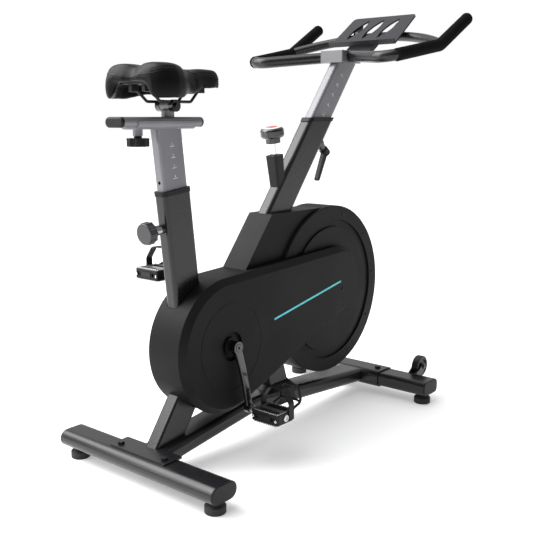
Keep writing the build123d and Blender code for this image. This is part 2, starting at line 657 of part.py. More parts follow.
def half_housing(side, drum_half, spindle_hole):
    """One half of the housing: drum, shroud and flywheel disc, hollow and open on the middle plane."""
    levels = ((drum_outline, drum_half), (shroud_outline, SHROUD_HALF), (disc_outline, DISC_FACE))
    with BuildPart() as half_shell:
        extrude(disc_outline(0), amount=-side * DISC_FACE)
        chamfer(half_shell.faces().filter_by(Axis.Y).sort_by(Axis.Y)[-1 if side > 0 else 0].edges(), 2)
        for outline, half in levels[:2]:
            extrude(outline(0), amount=-side * half)
        for outline, half in levels:
            extrude(outline(0, -SHELL), amount=-side * (half - SHELL), mode=Mode.SUBTRACT)
        add(face_ring(side, drum_half, (RING_IN - SHELL, RING_OUT + SHELL), DISC_FACE - RING_DEEP - SHELL,
                      DISC_FACE, -SHELL))
        add(face_ring(side, drum_half, (RING_IN, RING_OUT), DISC_FACE - RING_DEEP, DISC_FACE + 1, 0),
            mode=Mode.SUBTRACT)
        for low, high, point, tilt, deep, broad in ((0, 400, SEAT, SEAT_LEAN, TUBE_D, TUBE_B),
                                                    (-250, 500, HEAD, HEAD_LEAN, TUBE_D, TUBE_B),
                                                    (-20, 300, STRUT, STRUT_LEAN, STRUT_D, STRUT_B),
                                                    (-20, 300, MID, MID_LEAN, MID_D, MID_B)):
            add(bar(lean_plane(point, tilt, low), high - low, deep + 2, broad + 2, TUBE_R), mode=Mode.SUBTRACT)
        with BuildSketch(across(BB, side * (drum_half - 4))):
            Circle(spindle_hole)
        extrude(amount=side * 8, mode=Mode.SUBTRACT)
    return half_shell


with BuildPart() as right_shroud:
    add(half_housing(-1, RIGHT_DRUM, 28).part)
    with BuildSketch(across(HUB, -RIGHT_DRUM - 4)):
        Circle(18)
    extrude(amount=8, mode=Mode.SUBTRACT)
right_shroud.part.label = "right_shroud"
export_step(right_shroud.part, "parts/right_shroud.step")

with BuildPart() as left_shroud:
    add(half_housing(1, LEFT_DRUM, 16).part)
left_shroud.part.label = "left_shroud"
export_step(left_shroud.part, "parts/left_shroud.step")

# Belt cover: a shallow bevelled tray over the pulleys, with fine rings pressed round the crank hole
COVER_R, COVER_END_R = 175, 100
CRANK_HOLE = 37.5


def cover_outline(y, grow=0):
    """The belt cover, as a face at a given Y."""
    with BuildSketch(Plane.XZ.offset(-y)) as face:
        with BuildLine():
            CenterArc((*BB, 0), COVER_R + grow, 0, 360)
            CenterArc((*NECK_END, 0), COVER_END_R + grow, 0, 360)
        make_hull()
    return face.sketch


with BuildPart() as cover_inside:
    extrude(cover_outline(-RIGHT_DRUM, -SHELL), amount=COVER_T - SHELL)
    chamfer(cover_inside.faces().sort_by(Axis.Y)[0].edges(), 13.5, 14.5)
with BuildPart() as belt_cover:
    extrude(cover_outline(-RIGHT_DRUM), amount=COVER_T)
    chamfer(belt_cover.faces().sort_by(Axis.Y)[0].edges(), 15, 16)
    add(cover_inside.part, mode=Mode.SUBTRACT)
    with BuildSketch(Plane.XZ.offset(RIGHT_DRUM)):
        with Locations(BB):
            Circle(CRANK_HOLE)
    extrude(amount=COVER_T, mode=Mode.SUBTRACT)
    with BuildSketch(Plane.XZ.offset(RIGHT_DRUM + COVER_T - 0.7)):
        with Locations(BB):
            for ring in range(14):
                Circle(48 + 5 * ring)
                Circle(46.6 + 5 * ring, mode=Mode.SUBTRACT)
    extrude(amount=0.7, mode=Mode.SUBTRACT)
belt_cover.part.label = "belt_cover"
export_step(belt_cover.part, "parts/belt_cover.step")

# ---------------------------------------------------------------- seat group
POST_LOW, POST_HIGH = 90.6, 472
HOLE_PITCH, HOLE_R = 27.2, 4.3


COLLAR_LIP, COLLAR_SKIRT, COLLAR_GROW = 6, 5, 4      # above the tube's end, below it, and wider than it
SEAT_LINER, HEAD_LINER = 60, 34


def collar_bars(point, tilt):
    """Bars along a tube as wide as its collar, its outside, its liner and the post's clearance."""
    run = lean_plane(point, tilt, 200)
    return [bar(run, 400, TUBE_D + grow, TUBE_B + grow, TUBE_R + grow / 2)
            for grow in (COLLAR_GROW, 0.2, -2 * WALL - 0.2)] + [
            bar(run, 400, POST_D + 2 * GAP, POST_B + 2 * GAP, POST_R + GAP)]


def along_slab(low, high):
    """A block square to the seat tube between two places along it."""
    slab = Box(300, 300, high - low, mode=Mode.PRIVATE)
    return lean_plane(SEAT, SEAT_LEAN, (low + high) / 2) * slab


with BuildPart() as seat_collar:
    wide, outside, liner, bore = collar_bars(SEAT, SEAT_LEAN)
    add(wide & along_slab(SEAT_HIGH - COLLAR_SKIRT, SEAT_HIGH + COLLAR_LIP))
    add(outside & along_slab(SEAT_HIGH - COLLAR_SKIRT - 1, SEAT_HIGH), mode=Mode.SUBTRACT)
    add(liner & along_slab(SEAT_HIGH - SEAT_LINER, SEAT_HIGH))
    add(bore, mode=Mode.SUBTRACT)
seat_collar.part.label = "seat_collar"
export_step(seat_collar.part, "parts/seat_collar.step")

with BuildPart() as head_collar:
    wide, outside, liner, bore = collar_bars(HEAD, HEAD_LEAN)
    add(wide & level_slab(HEAD_TOP - COLLAR_SKIRT, HEAD_TOP + COLLAR_LIP))
    add(outside & level_slab(HEAD_TOP - COLLAR_SKIRT - 1, HEAD_TOP), mode=Mode.SUBTRACT)
    add(liner & level_slab(HEAD_TOP - HEAD_LINER, HEAD_TOP))
    add(bore, mode=Mode.SUBTRACT)
head_collar.part.label = "head_collar"
export_step(head_collar.part, "parts/head_collar.step")

# Seat post with the open-topped sleeve of the saddle slider welded across its top
SLEEVE_WALL, SLEEVE_CORNER_R = 3, 14
SLEEVE_LIP = 861                   # height of the sleeve's open edges
SLIDE_KNOB_X = -498
KNOB_LOW, KNOB_HIGH = 804, 823     # the slider knob's grip
STEM_R = 5
with BuildPart() as seat_post:
    add(tube(lean_plane(SEAT, SEAT_LEAN, POST_LOW), POST_HIGH - POST_LOW, POST_D, POST_B, POST_R).part)
    for hole in range(-4, 5):
        with BuildSketch(pin_plane.offset(POST_D / 2 - 5)):
            with Locations((0, HOLE_PITCH * hole)):
                Circle(HOLE_R)
        extrude(amount=8, mode=Mode.SUBTRACT)
    with BuildSketch(Plane.YZ.offset(SLEEVE_X[0])):
        with Locations((0, SLIDE_Z)):
            RectangleRounded(SLIDE_W + 2 * SLEEVE_WALL, SLIDE_H + 2 * SLEEVE_WALL + 2, SLEEVE_CORNER_R)
        with Locations((0, SLEEVE_LIP + 50)):
            Rectangle(100, 100, mode=Mode.SUBTRACT)
    extrude(amount=SLEEVE_X[1] - SLEEVE_X[0])
    with BuildSketch(Plane.XY.offset(KNOB_HIGH + 5)):
        with Locations((SLIDE_KNOB_X, 0)):
            Circle(11)
    extrude(amount=17)
    with BuildSketch(Plane.YZ.offset(SLEEVE_X[0] - 1)):
        with Locations((0, SLIDE_Z)):
            SlotOverall(SLIDE_W + 2 * GAP, SLIDE_H + 2 * GAP)
    extrude(amount=SLEEVE_X[1] - SLEEVE_X[0] + 2, mode=Mode.SUBTRACT)
    with BuildSketch(Plane.XY.offset(KNOB_HIGH)):
        with Locations((SLIDE_KNOB_X, 0)):
            Circle(STEM_R + FIT)
    extrude(amount=30, mode=Mode.SUBTRACT)
seat_post.part.label = "seat_post"
export_step(seat_post.part, "parts/seat_post.step")

# Locking pin of the seat post: the tip rests just short of the post
PIN_TIP = POST_D / 2 + GAP
KNOB_NEAR, KNOB_FAR = 83, 105
with BuildPart() as seat_pin:
    with BuildSketch(pin_plane.offset(PIN_TIP)):
        Circle(PIN_R)
    extrude(amount=98 - PIN_TIP)
    with BuildSketch(pin_plane.offset(56)):
        Circle(12)
    extrude(amount=KNOB_NEAR - 0.5 - 56)
seat_pin.part.label = "seat_pin"
export_step(seat_pin.part, "parts/seat_pin.step")


with BuildPart() as seat_pin_knob:
    with BuildSketch(pin_plane.offset(KNOB_NEAR)):
        Circle(25)
        with PolarLocations(22, 10):
            Circle(5)
    extrude(amount=KNOB_FAR - KNOB_NEAR - 4)
    with BuildSketch(pin_plane.offset(KNOB_FAR - 4)):
        Circle(25.5)
    extrude(amount=4)
    fillet(seat_pin_knob.edges().filter_by(GeomType.CIRCLE).sort_by(Axis.X)[0], 3)
    with BuildSketch(pin_plane.offset(KNOB_NEAR)):
        Circle(PIN_R + FIT)
    extrude(amount=98 + GAP - KNOB_NEAR, mode=Mode.SUBTRACT)
seat_pin_knob.part.label = "seat_pin_knob"
export_step(seat_pin_knob.part, "parts/seat_pin_knob.step")

# Slider: a flat-oval tube that carries the saddle clamp on a short pillar
PILLAR_R, EYE_R, EYE_HALF, TILT_BOLT_R = 15, 13, 14.5, 4
with BuildPart() as seat_slider:
    with BuildSketch(Plane.YZ.offset(SLIDER_X[0])):
        with Locations((0, SLIDE_Z)):
            SlotOverall(SLIDE_W, SLIDE_H)
            SlotOverall(SLIDE_W - 6, SLIDE_H - 6, mode=Mode.SUBTRACT)
    extrude(amount=SLIDER_X[1] - SLIDER_X[0])
    for notch in range(6):
        with BuildSketch(Plane.XY.offset(SLIDE_Z + SLIDE_H / 2)):
            with Locations((-500 + 15 * notch, -14)):
                SlotOverall(10, 5, rotation=90)
        extrude(amount=-2, mode=Mode.SUBTRACT)
    with BuildSketch(Plane.XY.offset(SLIDE_Z + SLIDE_H / 2 - 1.5)):
        with Locations((TILT[0], 0)):
            Circle(PILLAR_R)
    extrude(amount=16)
    with BuildSketch(Plane.XZ.offset(-EYE_HALF)):
        with Locations(TILT):
            Circle(EYE_R)
    extrude(amount=2 * EYE_HALF)
    with BuildSketch(Plane.XZ.offset(-20)):
        with Locations(TILT):
            Circle(TILT_BOLT_R + FIT)
    extrude(amount=40, mode=Mode.SUBTRACT)
seat_slider.part.label = "seat_slider"
export_step(seat_slider.part, "parts/seat_slider.step")

with BuildPart() as slider_plugs:
    for end, way in ((SLIDER_X[0], -1), (SLIDER_X[1], 1)):
        with BuildSketch(Plane.YZ.offset(end)):
            with Locations((0, SLIDE_Z)):
                SlotOverall(SLIDE_W, SLIDE_H)
        extrude(amount=way * 8)
        with BuildSketch(Plane.YZ.offset(end)):
            with Locations((0, SLIDE_Z)):
                SlotOverall(SLIDE_W - 6.4, SLIDE_H - 6.4)
        extrude(amount=-way * 14)
    plug_faces = slider_plugs.faces().filter_by(Axis.X).group_by(Axis.X)
    fillet((plug_faces[0] + plug_faces[-1]).edges(), 5)
slider_plugs.part.label = "slider_plugs"
export_step(slider_plugs.part, "parts/slider_plugs.step")

with BuildPart() as slider_knob:
    with BuildSketch(Plane.XY.offset(KNOB_LOW)):
        with Locations((SLIDE_KNOB_X, 0)):
            Circle(22)
            with PolarLocations(20.5, 8):
                Circle(5)
    extrude(amount=KNOB_HIGH - KNOB_LOW)
    chamfer(slider_knob.faces().sort_by(Axis.Z)[0].edges(), 1.5)
    with BuildSketch(Plane.XY.offset(KNOB_HIGH)):
        with Locations((SLIDE_KNOB_X, 0)):
            Circle(9)
    extrude(amount=5 - GAP)
    with BuildSketch(Plane.XY.offset(KNOB_HIGH)):
        with Locations((SLIDE_KNOB_X, 0)):
            Circle(STEM_R)
    extrude(amount=SLIDE_Z - SLIDE_H / 2 - GAP - KNOB_HIGH)
slider_knob.part.label = "slider_knob"
export_step(slider_knob.part, "parts/slider_knob.step")

# ---------------------------------------------------------------- saddle
SADDLE_BACK, SADDLE_TIP = -530, -236
WING_HALF, NOSE_HALF = 112, 31
PAD_LOW, PAD_UNDER, PAD_TOP = 906, 946, 985
RAIL_Z = 905


def saddle_outline(z):
    """Plan of the saddle as a face at a given height: two wings and a narrow nose."""
    with BuildSketch(Plane.XY.offset(z)) as face:
        with BuildLine():
            rear = Spline((SADDLE_BACK + 8, 0), (SADDLE_BACK, 52), (SADDLE_BACK + 16, 94),
                          (-470, WING_HALF), (-418, 88), (-372, 50), (-322, 33), (-272, NOSE_HALF),
                          (-245, 20), (SADDLE_TIP, 0), tangents=((0, 1, 0), (0, -1, 0)))
            mirror(rear, about=Plane.XZ)
        make_face()
    return face.sketch


with BuildPart() as saddle_pad:
    extrude(saddle_outline(PAD_LOW), amount=PAD_TOP - PAD_LOW)
    with BuildSketch(Plane.YZ.offset(SADDLE_BACK - 5)):
        Polygon((-WING_HALF - 1, PAD_LOW), (WING_HALF + 1, PAD_LOW), (WING_HALF + 1, PAD_TOP - 14),
                (WING_HALF - 14, PAD_TOP - 3), (72, PAD_TOP), (-72, PAD_TOP), (14 - WING_HALF, PAD_TOP - 3),
                (-WING_HALF - 1, PAD_TOP - 14), align=None)
    extrude(amount=SADDLE_TIP - SADDLE_BACK + 10, mode=Mode.INTERSECT)
    with BuildSketch(Plane.XZ):
        with BuildLine():
            Polyline((-448, PAD_LOW - 5), (-375, 930), (-340, PAD_UNDER), (-200, PAD_UNDER),
                     (-200, PAD_LOW - 5), close=True)
        make_face()
    extrude(amount=130, both=True, mode=Mode.SUBTRACT)
    with BuildSketch(Plane.YZ.offset(SADDLE_BACK - 5)):
        with BuildLine():
            Polyline((-84, PAD_LOW - 5), (-58, PAD_UNDER), (58, PAD_UNDER), (84, PAD_LOW - 5), close=True)
        make_face()
    extrude(amount=300, mode=Mode.SUBTRACT)
saddle_pad.part.label = "saddle_pad"
export_step(saddle_pad.part, "parts/saddle_pad.step")

# Moulded base under the pad, with four sockets for the rails
RAIL_ENDS = (-488, -318)
with BuildPart() as saddle_rails:
    for side in (1, -1):
        with BuildLine(Plane.XZ.offset(-side * RAIL_Y)) as rail:
            FilletPolyline((RAIL_ENDS[0], 938), (-448, RAIL_Z), (-350, RAIL_Z), (RAIL_ENDS[1], 938), radius=12)
        with BuildSketch(Plane(origin=rail.line @ 0, z_dir=rail.line % 0)):
            Circle(RAIL_R)
        sweep(path=rail.line)
saddle_rails.part.label = "saddle_rails"
export_step(saddle_rails.part, "parts/saddle_rails.step")

with BuildPart() as saddle_base:
    with BuildSketch(Plane.XY.offset(PAD_UNDER - 4)):
        Polygon((-508, -48), (-400, -44), (-330, -27), (-256, -20), (-256, 20), (-330, 27), (-400, 44),
                (-508, 48), align=None)
    extrude(amount=4)
    fillet(saddle_base.edges().filter_by(Axis.Z), 6)
    for end in RAIL_ENDS:
        for side in (1, -1):
            with BuildSketch(Plane.XY.offset(926)):
                with Locations((end, side * RAIL_Y)):
                    RectangleRounded(20, 14, 3)
            extrude(amount=PAD_UNDER - 3 - 926)
    add(saddle_rails.part, mode=Mode.SUBTRACT)
saddle_base.part.label = "saddle_base"
export_step(saddle_base.part, "parts/saddle_base.step")

# Saddle clamp: two ribbed discs that grip the rails, drawn together by one bolt through the eye
with BuildPart() as saddle_clamp:
    for side in (1, -1):
        with BuildSketch(Plane.XZ.offset(-side * (EYE_HALF + 0.5))):
            with Locations(TILT):
                Circle(14)
                Circle(TILT_BOLT_R + 0.2, mode=Mode.SUBTRACT)
        extrude(amount=-side * 14)
        with BuildSketch(Plane.XZ.offset(-side * (EYE_HALF + 14.6))):
            with Locations(TILT):
                RegularPolygon(7.5, 6)
        extrude(amount=-side * 6)
    with BuildSketch(Plane.XZ.offset(-(EYE_HALF + 18))):
        with Locations(TILT):
            Circle(TILT_BOLT_R)
    extrude(amount=2 * (EYE_HALF + 18))
    add(saddle_rails.part, mode=Mode.SUBTRACT)
saddle_clamp.part.label = "saddle_clamp"
export_step(saddle_clamp.part, "parts/saddle_clamp.step")

# ---------------------------------------------------------------- handlebar group
HPOST_LOW = 285
BAR_WALL = 3
BAR_POINTS = ((559, 271, 1158), (405, 266, 1071), (153, 245, 1025), (288, 50, 1043))
BAR_BENDS = (30, 40, 60)
CROSS_END, CROSS_APEX, CROSS_R = (410, 262, 1075), (500, 0, 1115), 14
block_low, block_high = BLOCK_Z

HPOST_CUT = Box(600, 200, 200, mode=Mode.PRIVATE)      # cuts the post level under the block
HPOST_LID = 4
hpost_solid = bar(lean_plane(HEAD, HEAD_LEAN, HPOST_LOW), 400, POST_D, POST_B, POST_R)
hpost_bore = bar(lean_plane(HEAD, HEAD_LEAN, HPOST_LOW - 10), 420, POST_D - 2 * WALL, POST_B - 2 * WALL,
                 POST_R - WALL)
with BuildPart() as handlebar_post:
    add(hpost_solid - Pos(400, 0, block_low + 100) * HPOST_CUT)
    add(hpost_bore - Pos(400, 0, block_low + 100 - HPOST_LID) * HPOST_CUT, mode=Mode.SUBTRACT)
handlebar_post.part.label = "handlebar_post"
export_step(handlebar_post.part, "parts/handlebar_post.step")


def mirrored(points):
    """A run of points on the left followed by the same points on the right, from tip to tip."""
    return list(points) + [(x, -y, z) for x, y, z in reversed(points)]


def bar_solid(radius):
    """The bent bar from horn tip to horn tip at a given radius."""
    with BuildPart() as solid:
        with BuildLine() as run:
            FilletPolyline(*mirrored(BAR_POINTS), radius=BAR_BENDS + BAR_BENDS[::-1])
        with BuildSketch(Plane(origin=run.line @ 0, z_dir=run.line % 0)):
            Circle(radius)
        sweep(path=run.line)
    return solid.part


def cross_solid(radius):
    """The bowed crossbar between the two grips at a given radius."""
    with BuildPart() as solid:
        with BuildLine() as run:
            ThreePointArc(CROSS_END, CROSS_APEX, (CROSS_END[0], -CROSS_END[1], CROSS_END[2]))
        with BuildSketch(Plane(origin=run.line @ 0, z_dir=run.line % 0)):
            Circle(radius)
        sweep(path=run.line)
    return solid.part


with BuildPart() as handlebar:
    add(bar_solid(BAR_R))
    add(cross_solid(CROSS_R))
    add(bar_solid(BAR_R - BAR_WALL), mode=Mode.SUBTRACT)
    add(cross_solid(CROSS_R - BAR_WALL), mode=Mode.SUBTRACT)
handlebar.part.label = "handlebar"
export_step(handlebar.part, "parts/handlebar.step")

# Clamp block, welded on the post and bored for the bar
with BuildPart() as clamp_block:
    with BuildSketch(Plane.XY.offset(block_low)):
        with Locations(((BLOCK_X[0] + BLOCK_X[1]) / 2, 0)):
            RectangleRounded(BLOCK_X[1] - BLOCK_X[0], 2 * BLOCK_HALF, 4)
    extrude(amount=block_high - block_low)
    chamfer(clamp_block.edges().group_by(Axis.Z)[-1], 1.5)
    add(bar_solid(BAR_R), mode=Mode.SUBTRACT)
clamp_block.part.label = "clamp_block"
export_step(clamp_block.part, "parts/clamp_block.step")

# Foam grips: closed at the horn tips, open at the back, notched for the crossbar
GRIP_START = 0.17          # where the foam starts on the straight side, as a share of its length
GRIP_CAP = 5
rear, front_bend, tip = (Vector(*BAR_POINTS[2]), Vector(*BAR_POINTS[1]), Vector(*BAR_POINTS[0]))
grip_from = rear + (front_bend - rear) * GRIP_START
grip_to = tip + (tip - front_bend).normalized() * GRIP_CAP
with BuildPart() as handlebar_grips:
    for side in (1, -1):
        with BuildLine() as run:
            FilletPolyline(*[(p.X, side * p.Y, p.Z) for p in (grip_from, front_bend, grip_to)],
                           radius=BAR_BENDS[0])
        with BuildSketch(Plane(origin=run.line @ 0, z_dir=run.line % 0)):
            Circle(GRIP_R)
        sweep(path=run.line)
    tips = handlebar_grips.faces().filter_by(GeomType.PLANE).sort_by(Axis.X)[-2:]
    fillet(tips.edges(), 4.5)
    add(bar_solid(BAR_R + 0.01), mode=Mode.SUBTRACT)
    add(cross_solid(CROSS_R + 0.2), mode=Mode.SUBTRACT)
handlebar_grips.part.label = "handlebar_grips"
export_step(handlebar_grips.part, "parts/handlebar_grips.step")

# Tray: a sloping plate with three leaf-shaped slots and a lip along its lower edge
TRAY_LOW, TRAY_HIGH = (407, 1085), (538, 1178)
TRAY_HALF_LOW, TRAY_HALF_HIGH, TRAY_T = 118, 112, 5
tray_len = hypot(TRAY_HIGH[0] - TRAY_LOW[0], TRAY_HIGH[1] - TRAY_LOW[1])
tray_plane = Plane(origin=xz(TRAY_LOW), x_dir=(0, -1, 0),
                   z_dir=(TRAY_LOW[1] - TRAY_HIGH[1], 0, TRAY_HIGH[0] - TRAY_LOW[0]))
with BuildPart() as tray:
    with BuildSketch(tray_plane.offset(-TRAY_T / 2)) as plate:
        Polygon((-TRAY_HALF_LOW, 0), (TRAY_HALF_LOW, 0), (TRAY_HALF_HIGH, tray_len),
                (-TRAY_HALF_HIGH, tray_len), align=None)
        fillet(plate.vertices().group_by(Axis.Y)[-1], 12)
    extrude(amount=TRAY_T)
    with BuildSketch(tray_plane.offset(TRAY_T / 2)):
        with Locations((0, 2.5)):
            RectangleRounded(2 * TRAY_HALF_LOW, 5, 2)
    extrude(amount=12)
    for slot in (-1, 0, 1):
        with BuildSketch(tray_plane.offset(-TRAY_T) * Location((55 * slot - 4, tray_len * 0.54, 0), (0, 0, -14))):
            with BuildLine():
                ThreePointArc((0, -56), (14, 0), (0, 56))
                ThreePointArc((0, 56), (-14, 0), (0, -56))
            make_face()
        extrude(amount=2 * TRAY_T, mode=Mode.SUBTRACT)
tray.part.label = "tray"
export_step(tray.part, "parts/tray.step")

# Bracket from the clamp block forward and up to the tray, and two saddles from the crossbar
BRACKET_HALF = 45
SADDLE_OUT, SADDLE_T = 76, 16      # outer face and thickness of each saddle
with BuildPart() as tray_bracket:
    with BuildSketch(Plane.XZ.offset(-BRACKET_HALF)):
        Polygon((300, block_high), (352, block_high), (352, 1040), (364, 1036), (470, 1111), (462, 1126),
                (420, 1094), (356, 1078), (300, 1070), align=None)
    extrude(amount=2 * BRACKET_HALF)
    for left_face in (SADDLE_OUT, SADDLE_T - SADDLE_OUT):
        with BuildSketch(Plane.XZ.offset(-left_face)):
            Polygon((470, 1100), (500, 1100), (510, 1165), (480, 1140), align=None)
        extrude(amount=SADDLE_T)
    with BuildSketch(tray_plane.offset(-TRAY_T / 2)):
        Rectangle(400, 600)
    extrude(amount=80, mode=Mode.SUBTRACT)
    add(hpost_solid, mode=Mode.SUBTRACT)
    add(cross_solid(CROSS_R), mode=Mode.SUBTRACT)
    add(bar_solid(BAR_R), mode=Mode.SUBTRACT)
    add(clamp_block.part, mode=Mode.SUBTRACT)
tray_bracket.part.label = "tray_bracket"
export_step(tray_bracket.part, "parts/tray_bracket.step")

# Clamp lever of the handlebar post: screw, washer, hub and arm
LEVER_HUB, LEVER_TOP = 76, 98
with BuildPart() as clamp_lever:
    with BuildSketch(lever_plane.offset(POST_D / 2 + GAP)):
        Circle(5)
    extrude(amount=LEVER_HUB - POST_D / 2 - GAP)
    with BuildSketch(lever_plane.offset(LEVER_BOSS + GAP)):
        Circle(10)
    extrude(amount=LEVER_HUB - LEVER_BOSS - GAP)
    with BuildSketch(lever_plane.offset(LEVER_HUB)):
        Circle(13)
    extrude(amount=LEVER_TOP - LEVER_HUB)
    fillet(clamp_lever.faces().filter_by(GeomType.PLANE).sort_by(Axis.X)[-1].edges(), 3)
    with BuildSketch(Plane(origin=lever_plane.origin, x_dir=lever_plane.z_dir, z_dir=(0, -1, 0)).offset(-6)):
        with BuildLine():
            CenterArc((LEVER_HUB + 11, 0, 0), 9, 0, 360)
            CenterArc((LEVER_TOP + 8, -84, 0), 6, 0, 360)
        make_hull()
    extrude(amount=12)
clamp_lever.part.label = "clamp_lever"
export_step(clamp_lever.part, "parts/clamp_lever.step")

# ---------------------------------------------------------------- brake
SLEEVE_SPAN = (110, 232)        # along the rod, from its foot
SLEEVE_FOOT, SLEEVE_HEAD, SLEEVE_CORNER = 31, 37, 6
with BuildPart() as brake_sleeve:
    for along, breadth in zip(SLEEVE_SPAN, (SLEEVE_FOOT, SLEEVE_HEAD)):
        with BuildSketch(lean_plane(ROD_FOOT, ROD_LEAN, along)):
            RectangleRounded(breadth, breadth, SLEEVE_CORNER)
    loft()
    add(rod(rod_run, ROD_R + GAP, ROD_LEN), mode=Mode.SUBTRACT)
    add(head_solid, mode=Mode.SUBTRACT)
brake_sleeve.part.label = "brake_sleeve"
export_step(brake_sleeve.part, "parts/brake_sleeve.step")

ROD_TOP = ROD_LEN + 10
KNOB_DOME, KNOB_DOME_R = (3, 30), 32      # the dome's span past the rod's head, and its radius
with BuildPart() as brake_rod:
    add(rod(rod_run, ROD_R, ROD_TOP))
    add(rod(rod_run, ROD_R + 1.5, 6))
brake_rod.part.label = "brake_rod"
export_step(brake_rod.part, "parts/brake_rod.step")

with BuildPart() as brake_knob:
    with BuildSketch(lean_plane(ROD_FOOT, ROD_LEAN, ROD_LEN + KNOB_DOME[0])):
        Circle(KNOB_DOME_R)
    extrude(amount=KNOB_DOME[1] - KNOB_DOME[0])
    fillet(brake_knob.edges().filter_by(GeomType.CIRCLE), 8)
    with BuildSketch(lean_plane(ROD_FOOT, ROD_LEAN, ROD_LEN - 11)):
        Circle(20)
    extrude(amount=16)
    with BuildSketch(lean_plane(ROD_FOOT, ROD_LEAN, ROD_LEN - 12)):
        Circle(ROD_R + FIT)
    extrude(amount=22 + GAP, mode=Mode.SUBTRACT)
brake_knob.part.label = "brake_knob"
export_step(brake_knob.part, "parts/brake_knob.step")

# Magnet bracket: a channel over the rim of the flywheel, hinged on the lug of the down tube
CHEEK_IN, CHEEK_OUT = 16.5, 19.5
MAGNET_IN = 12.5
BRACKET_R = (180, 225)
BRACKET_ARC = (105, 150)        # degrees round the hub, from the front


def rim_sector(radii, angles):
    """A sector of a ring round the hub, on the middle plane."""
    with BuildSketch(Plane.XZ) as face:
        with BuildLine():
            CenterArc((*HUB, 0), radii[0], angles[0], angles[1] - angles[0])
            CenterArc((*HUB, 0), radii[1], angles[0], angles[1] - angles[0])
            for angle in angles:
                a = radians(angle)
                Line(*[(HUB[0] + r * cos(a), HUB[1] + r * sin(a)) for r in radii])
        make_face()
    return face.sketch


with BuildPart() as magnet_bracket:
    extrude(rim_sector(BRACKET_R, BRACKET_ARC), amount=CHEEK_OUT, both=True)
    with BuildSketch(Plane.XZ):
        with BuildLine():
            CenterArc((*PIVOT, 0), 10, 0, 360)
            CenterArc((2, 482, 0), 14, 0, 360)
        make_hull()
    extrude(amount=CHEEK_OUT, both=True)
    extrude(rim_sector((BRACKET_R[0] - 10, BRACKET_R[1] - 3), (90, 170)), amount=CHEEK_IN, both=True,
            mode=Mode.SUBTRACT)
    with BuildSketch(Plane.XZ):
        with Locations(PIVOT):
            Circle(32)
    extrude(amount=CHEEK_IN, both=True, mode=Mode.SUBTRACT)
    with BuildSketch(Plane.XZ):
        with Locations(PIVOT):
            Circle(4)
    extrude(amount=CHEEK_OUT + 3, both=True)
magnet_bracket.part.label = "magnet_bracket"
export_step(magnet_bracket.part, "parts/magnet_bracket.step")

with BuildPart() as brake_magnets:
    for block in range(3):
        extrude(rim_sector((186, 203), (110 + 12 * block, 119 + 12 * block)), amount=CHEEK_IN, both=True)
    extrude(rim_sector((180, 206), (100, 150)), amount=MAGNET_IN, both=True, mode=Mode.SUBTRACT)
brake_magnets.part.label = "brake_magnets"
export_step(brake_magnets.part, "parts/brake_magnets.step")

# ---------------------------------------------------------------- wheels, feet and bolts
WHEEL, WHEEL_Y, WHEEL_R, WHEEL_HALF = (493, 90), 188, 33, 11
with BuildPart() as front_stabiliser_solid:
    with BuildSketch(Plane.XZ):
        with Locations((FRONT_X, STAB_Z)):
            RectangleRounded(FRONT_W, STAB_H, FRONT_R)
    extrude(amount=STAB_HALF, both=True)

with BuildPart() as wheel_brackets:
    for side in (1, -1):
        for cheek in (1, -1):
            with BuildSketch(Plane.XZ.offset(-(side * WHEEL_Y + cheek * (WHEEL_HALF + 1)))):
                with BuildLine():
                    CenterArc((*WHEEL, 0), 12, 0, 360)
                    CenterArc((452, 66, 0), 8, 0, 360)
                    CenterArc((458, 46, 0), 6, 0, 360)
                make_hull()
            extrude(amount=-cheek * 3.5)
        with BuildSketch(Plane.XZ.offset(-(side * WHEEL_Y - WHEEL_HALF - 7))):
            with Locations(WHEEL):
                Circle(4)
        extrude(amount=-2 * (WHEEL_HALF + 7))
        for cheek in (1, -1):
            with BuildSketch(Plane.XZ.offset(-(side * WHEEL_Y + cheek * (WHEEL_HALF + 4.5)))):
                with Locations(WHEEL):
                    RegularPolygon(7, 6)
            extrude(amount=-cheek * 4)
    add(front_stabiliser_solid.part, mode=Mode.SUBTRACT)
wheel_brackets.part.label = "wheel_brackets"
export_step(wheel_brackets.part, "parts/wheel_brackets.step")

for side, name in ((1, "left_wheel"), (-1, "right_wheel")):
    with BuildPart() as wheel:
        with BuildSketch(Plane.XZ.offset(-(side * WHEEL_Y - WHEEL_HALF))):
            with Locations(WHEEL):
                Circle(WHEEL_R)
                Circle(4 + FIT, mode=Mode.SUBTRACT)
        extrude(amount=-2 * WHEEL_HALF)
        rims = wheel.faces().filter_by(Axis.Y).edges().filter_by(lambda e: e.radius > 20)
        fillet(rims, 3)
        for face in (1, -1):
            with BuildSketch(Plane.XZ.offset(-(side * WHEEL_Y + face * WHEEL_HALF))):
                with Locations(WHEEL):
                    Circle(24)
                    Circle(9, mode=Mode.SUBTRACT)
            extrude(amount=face * 4, mode=Mode.SUBTRACT)
    wheel.part.label = name
    export_step(wheel.part, f"parts/{name}.step")

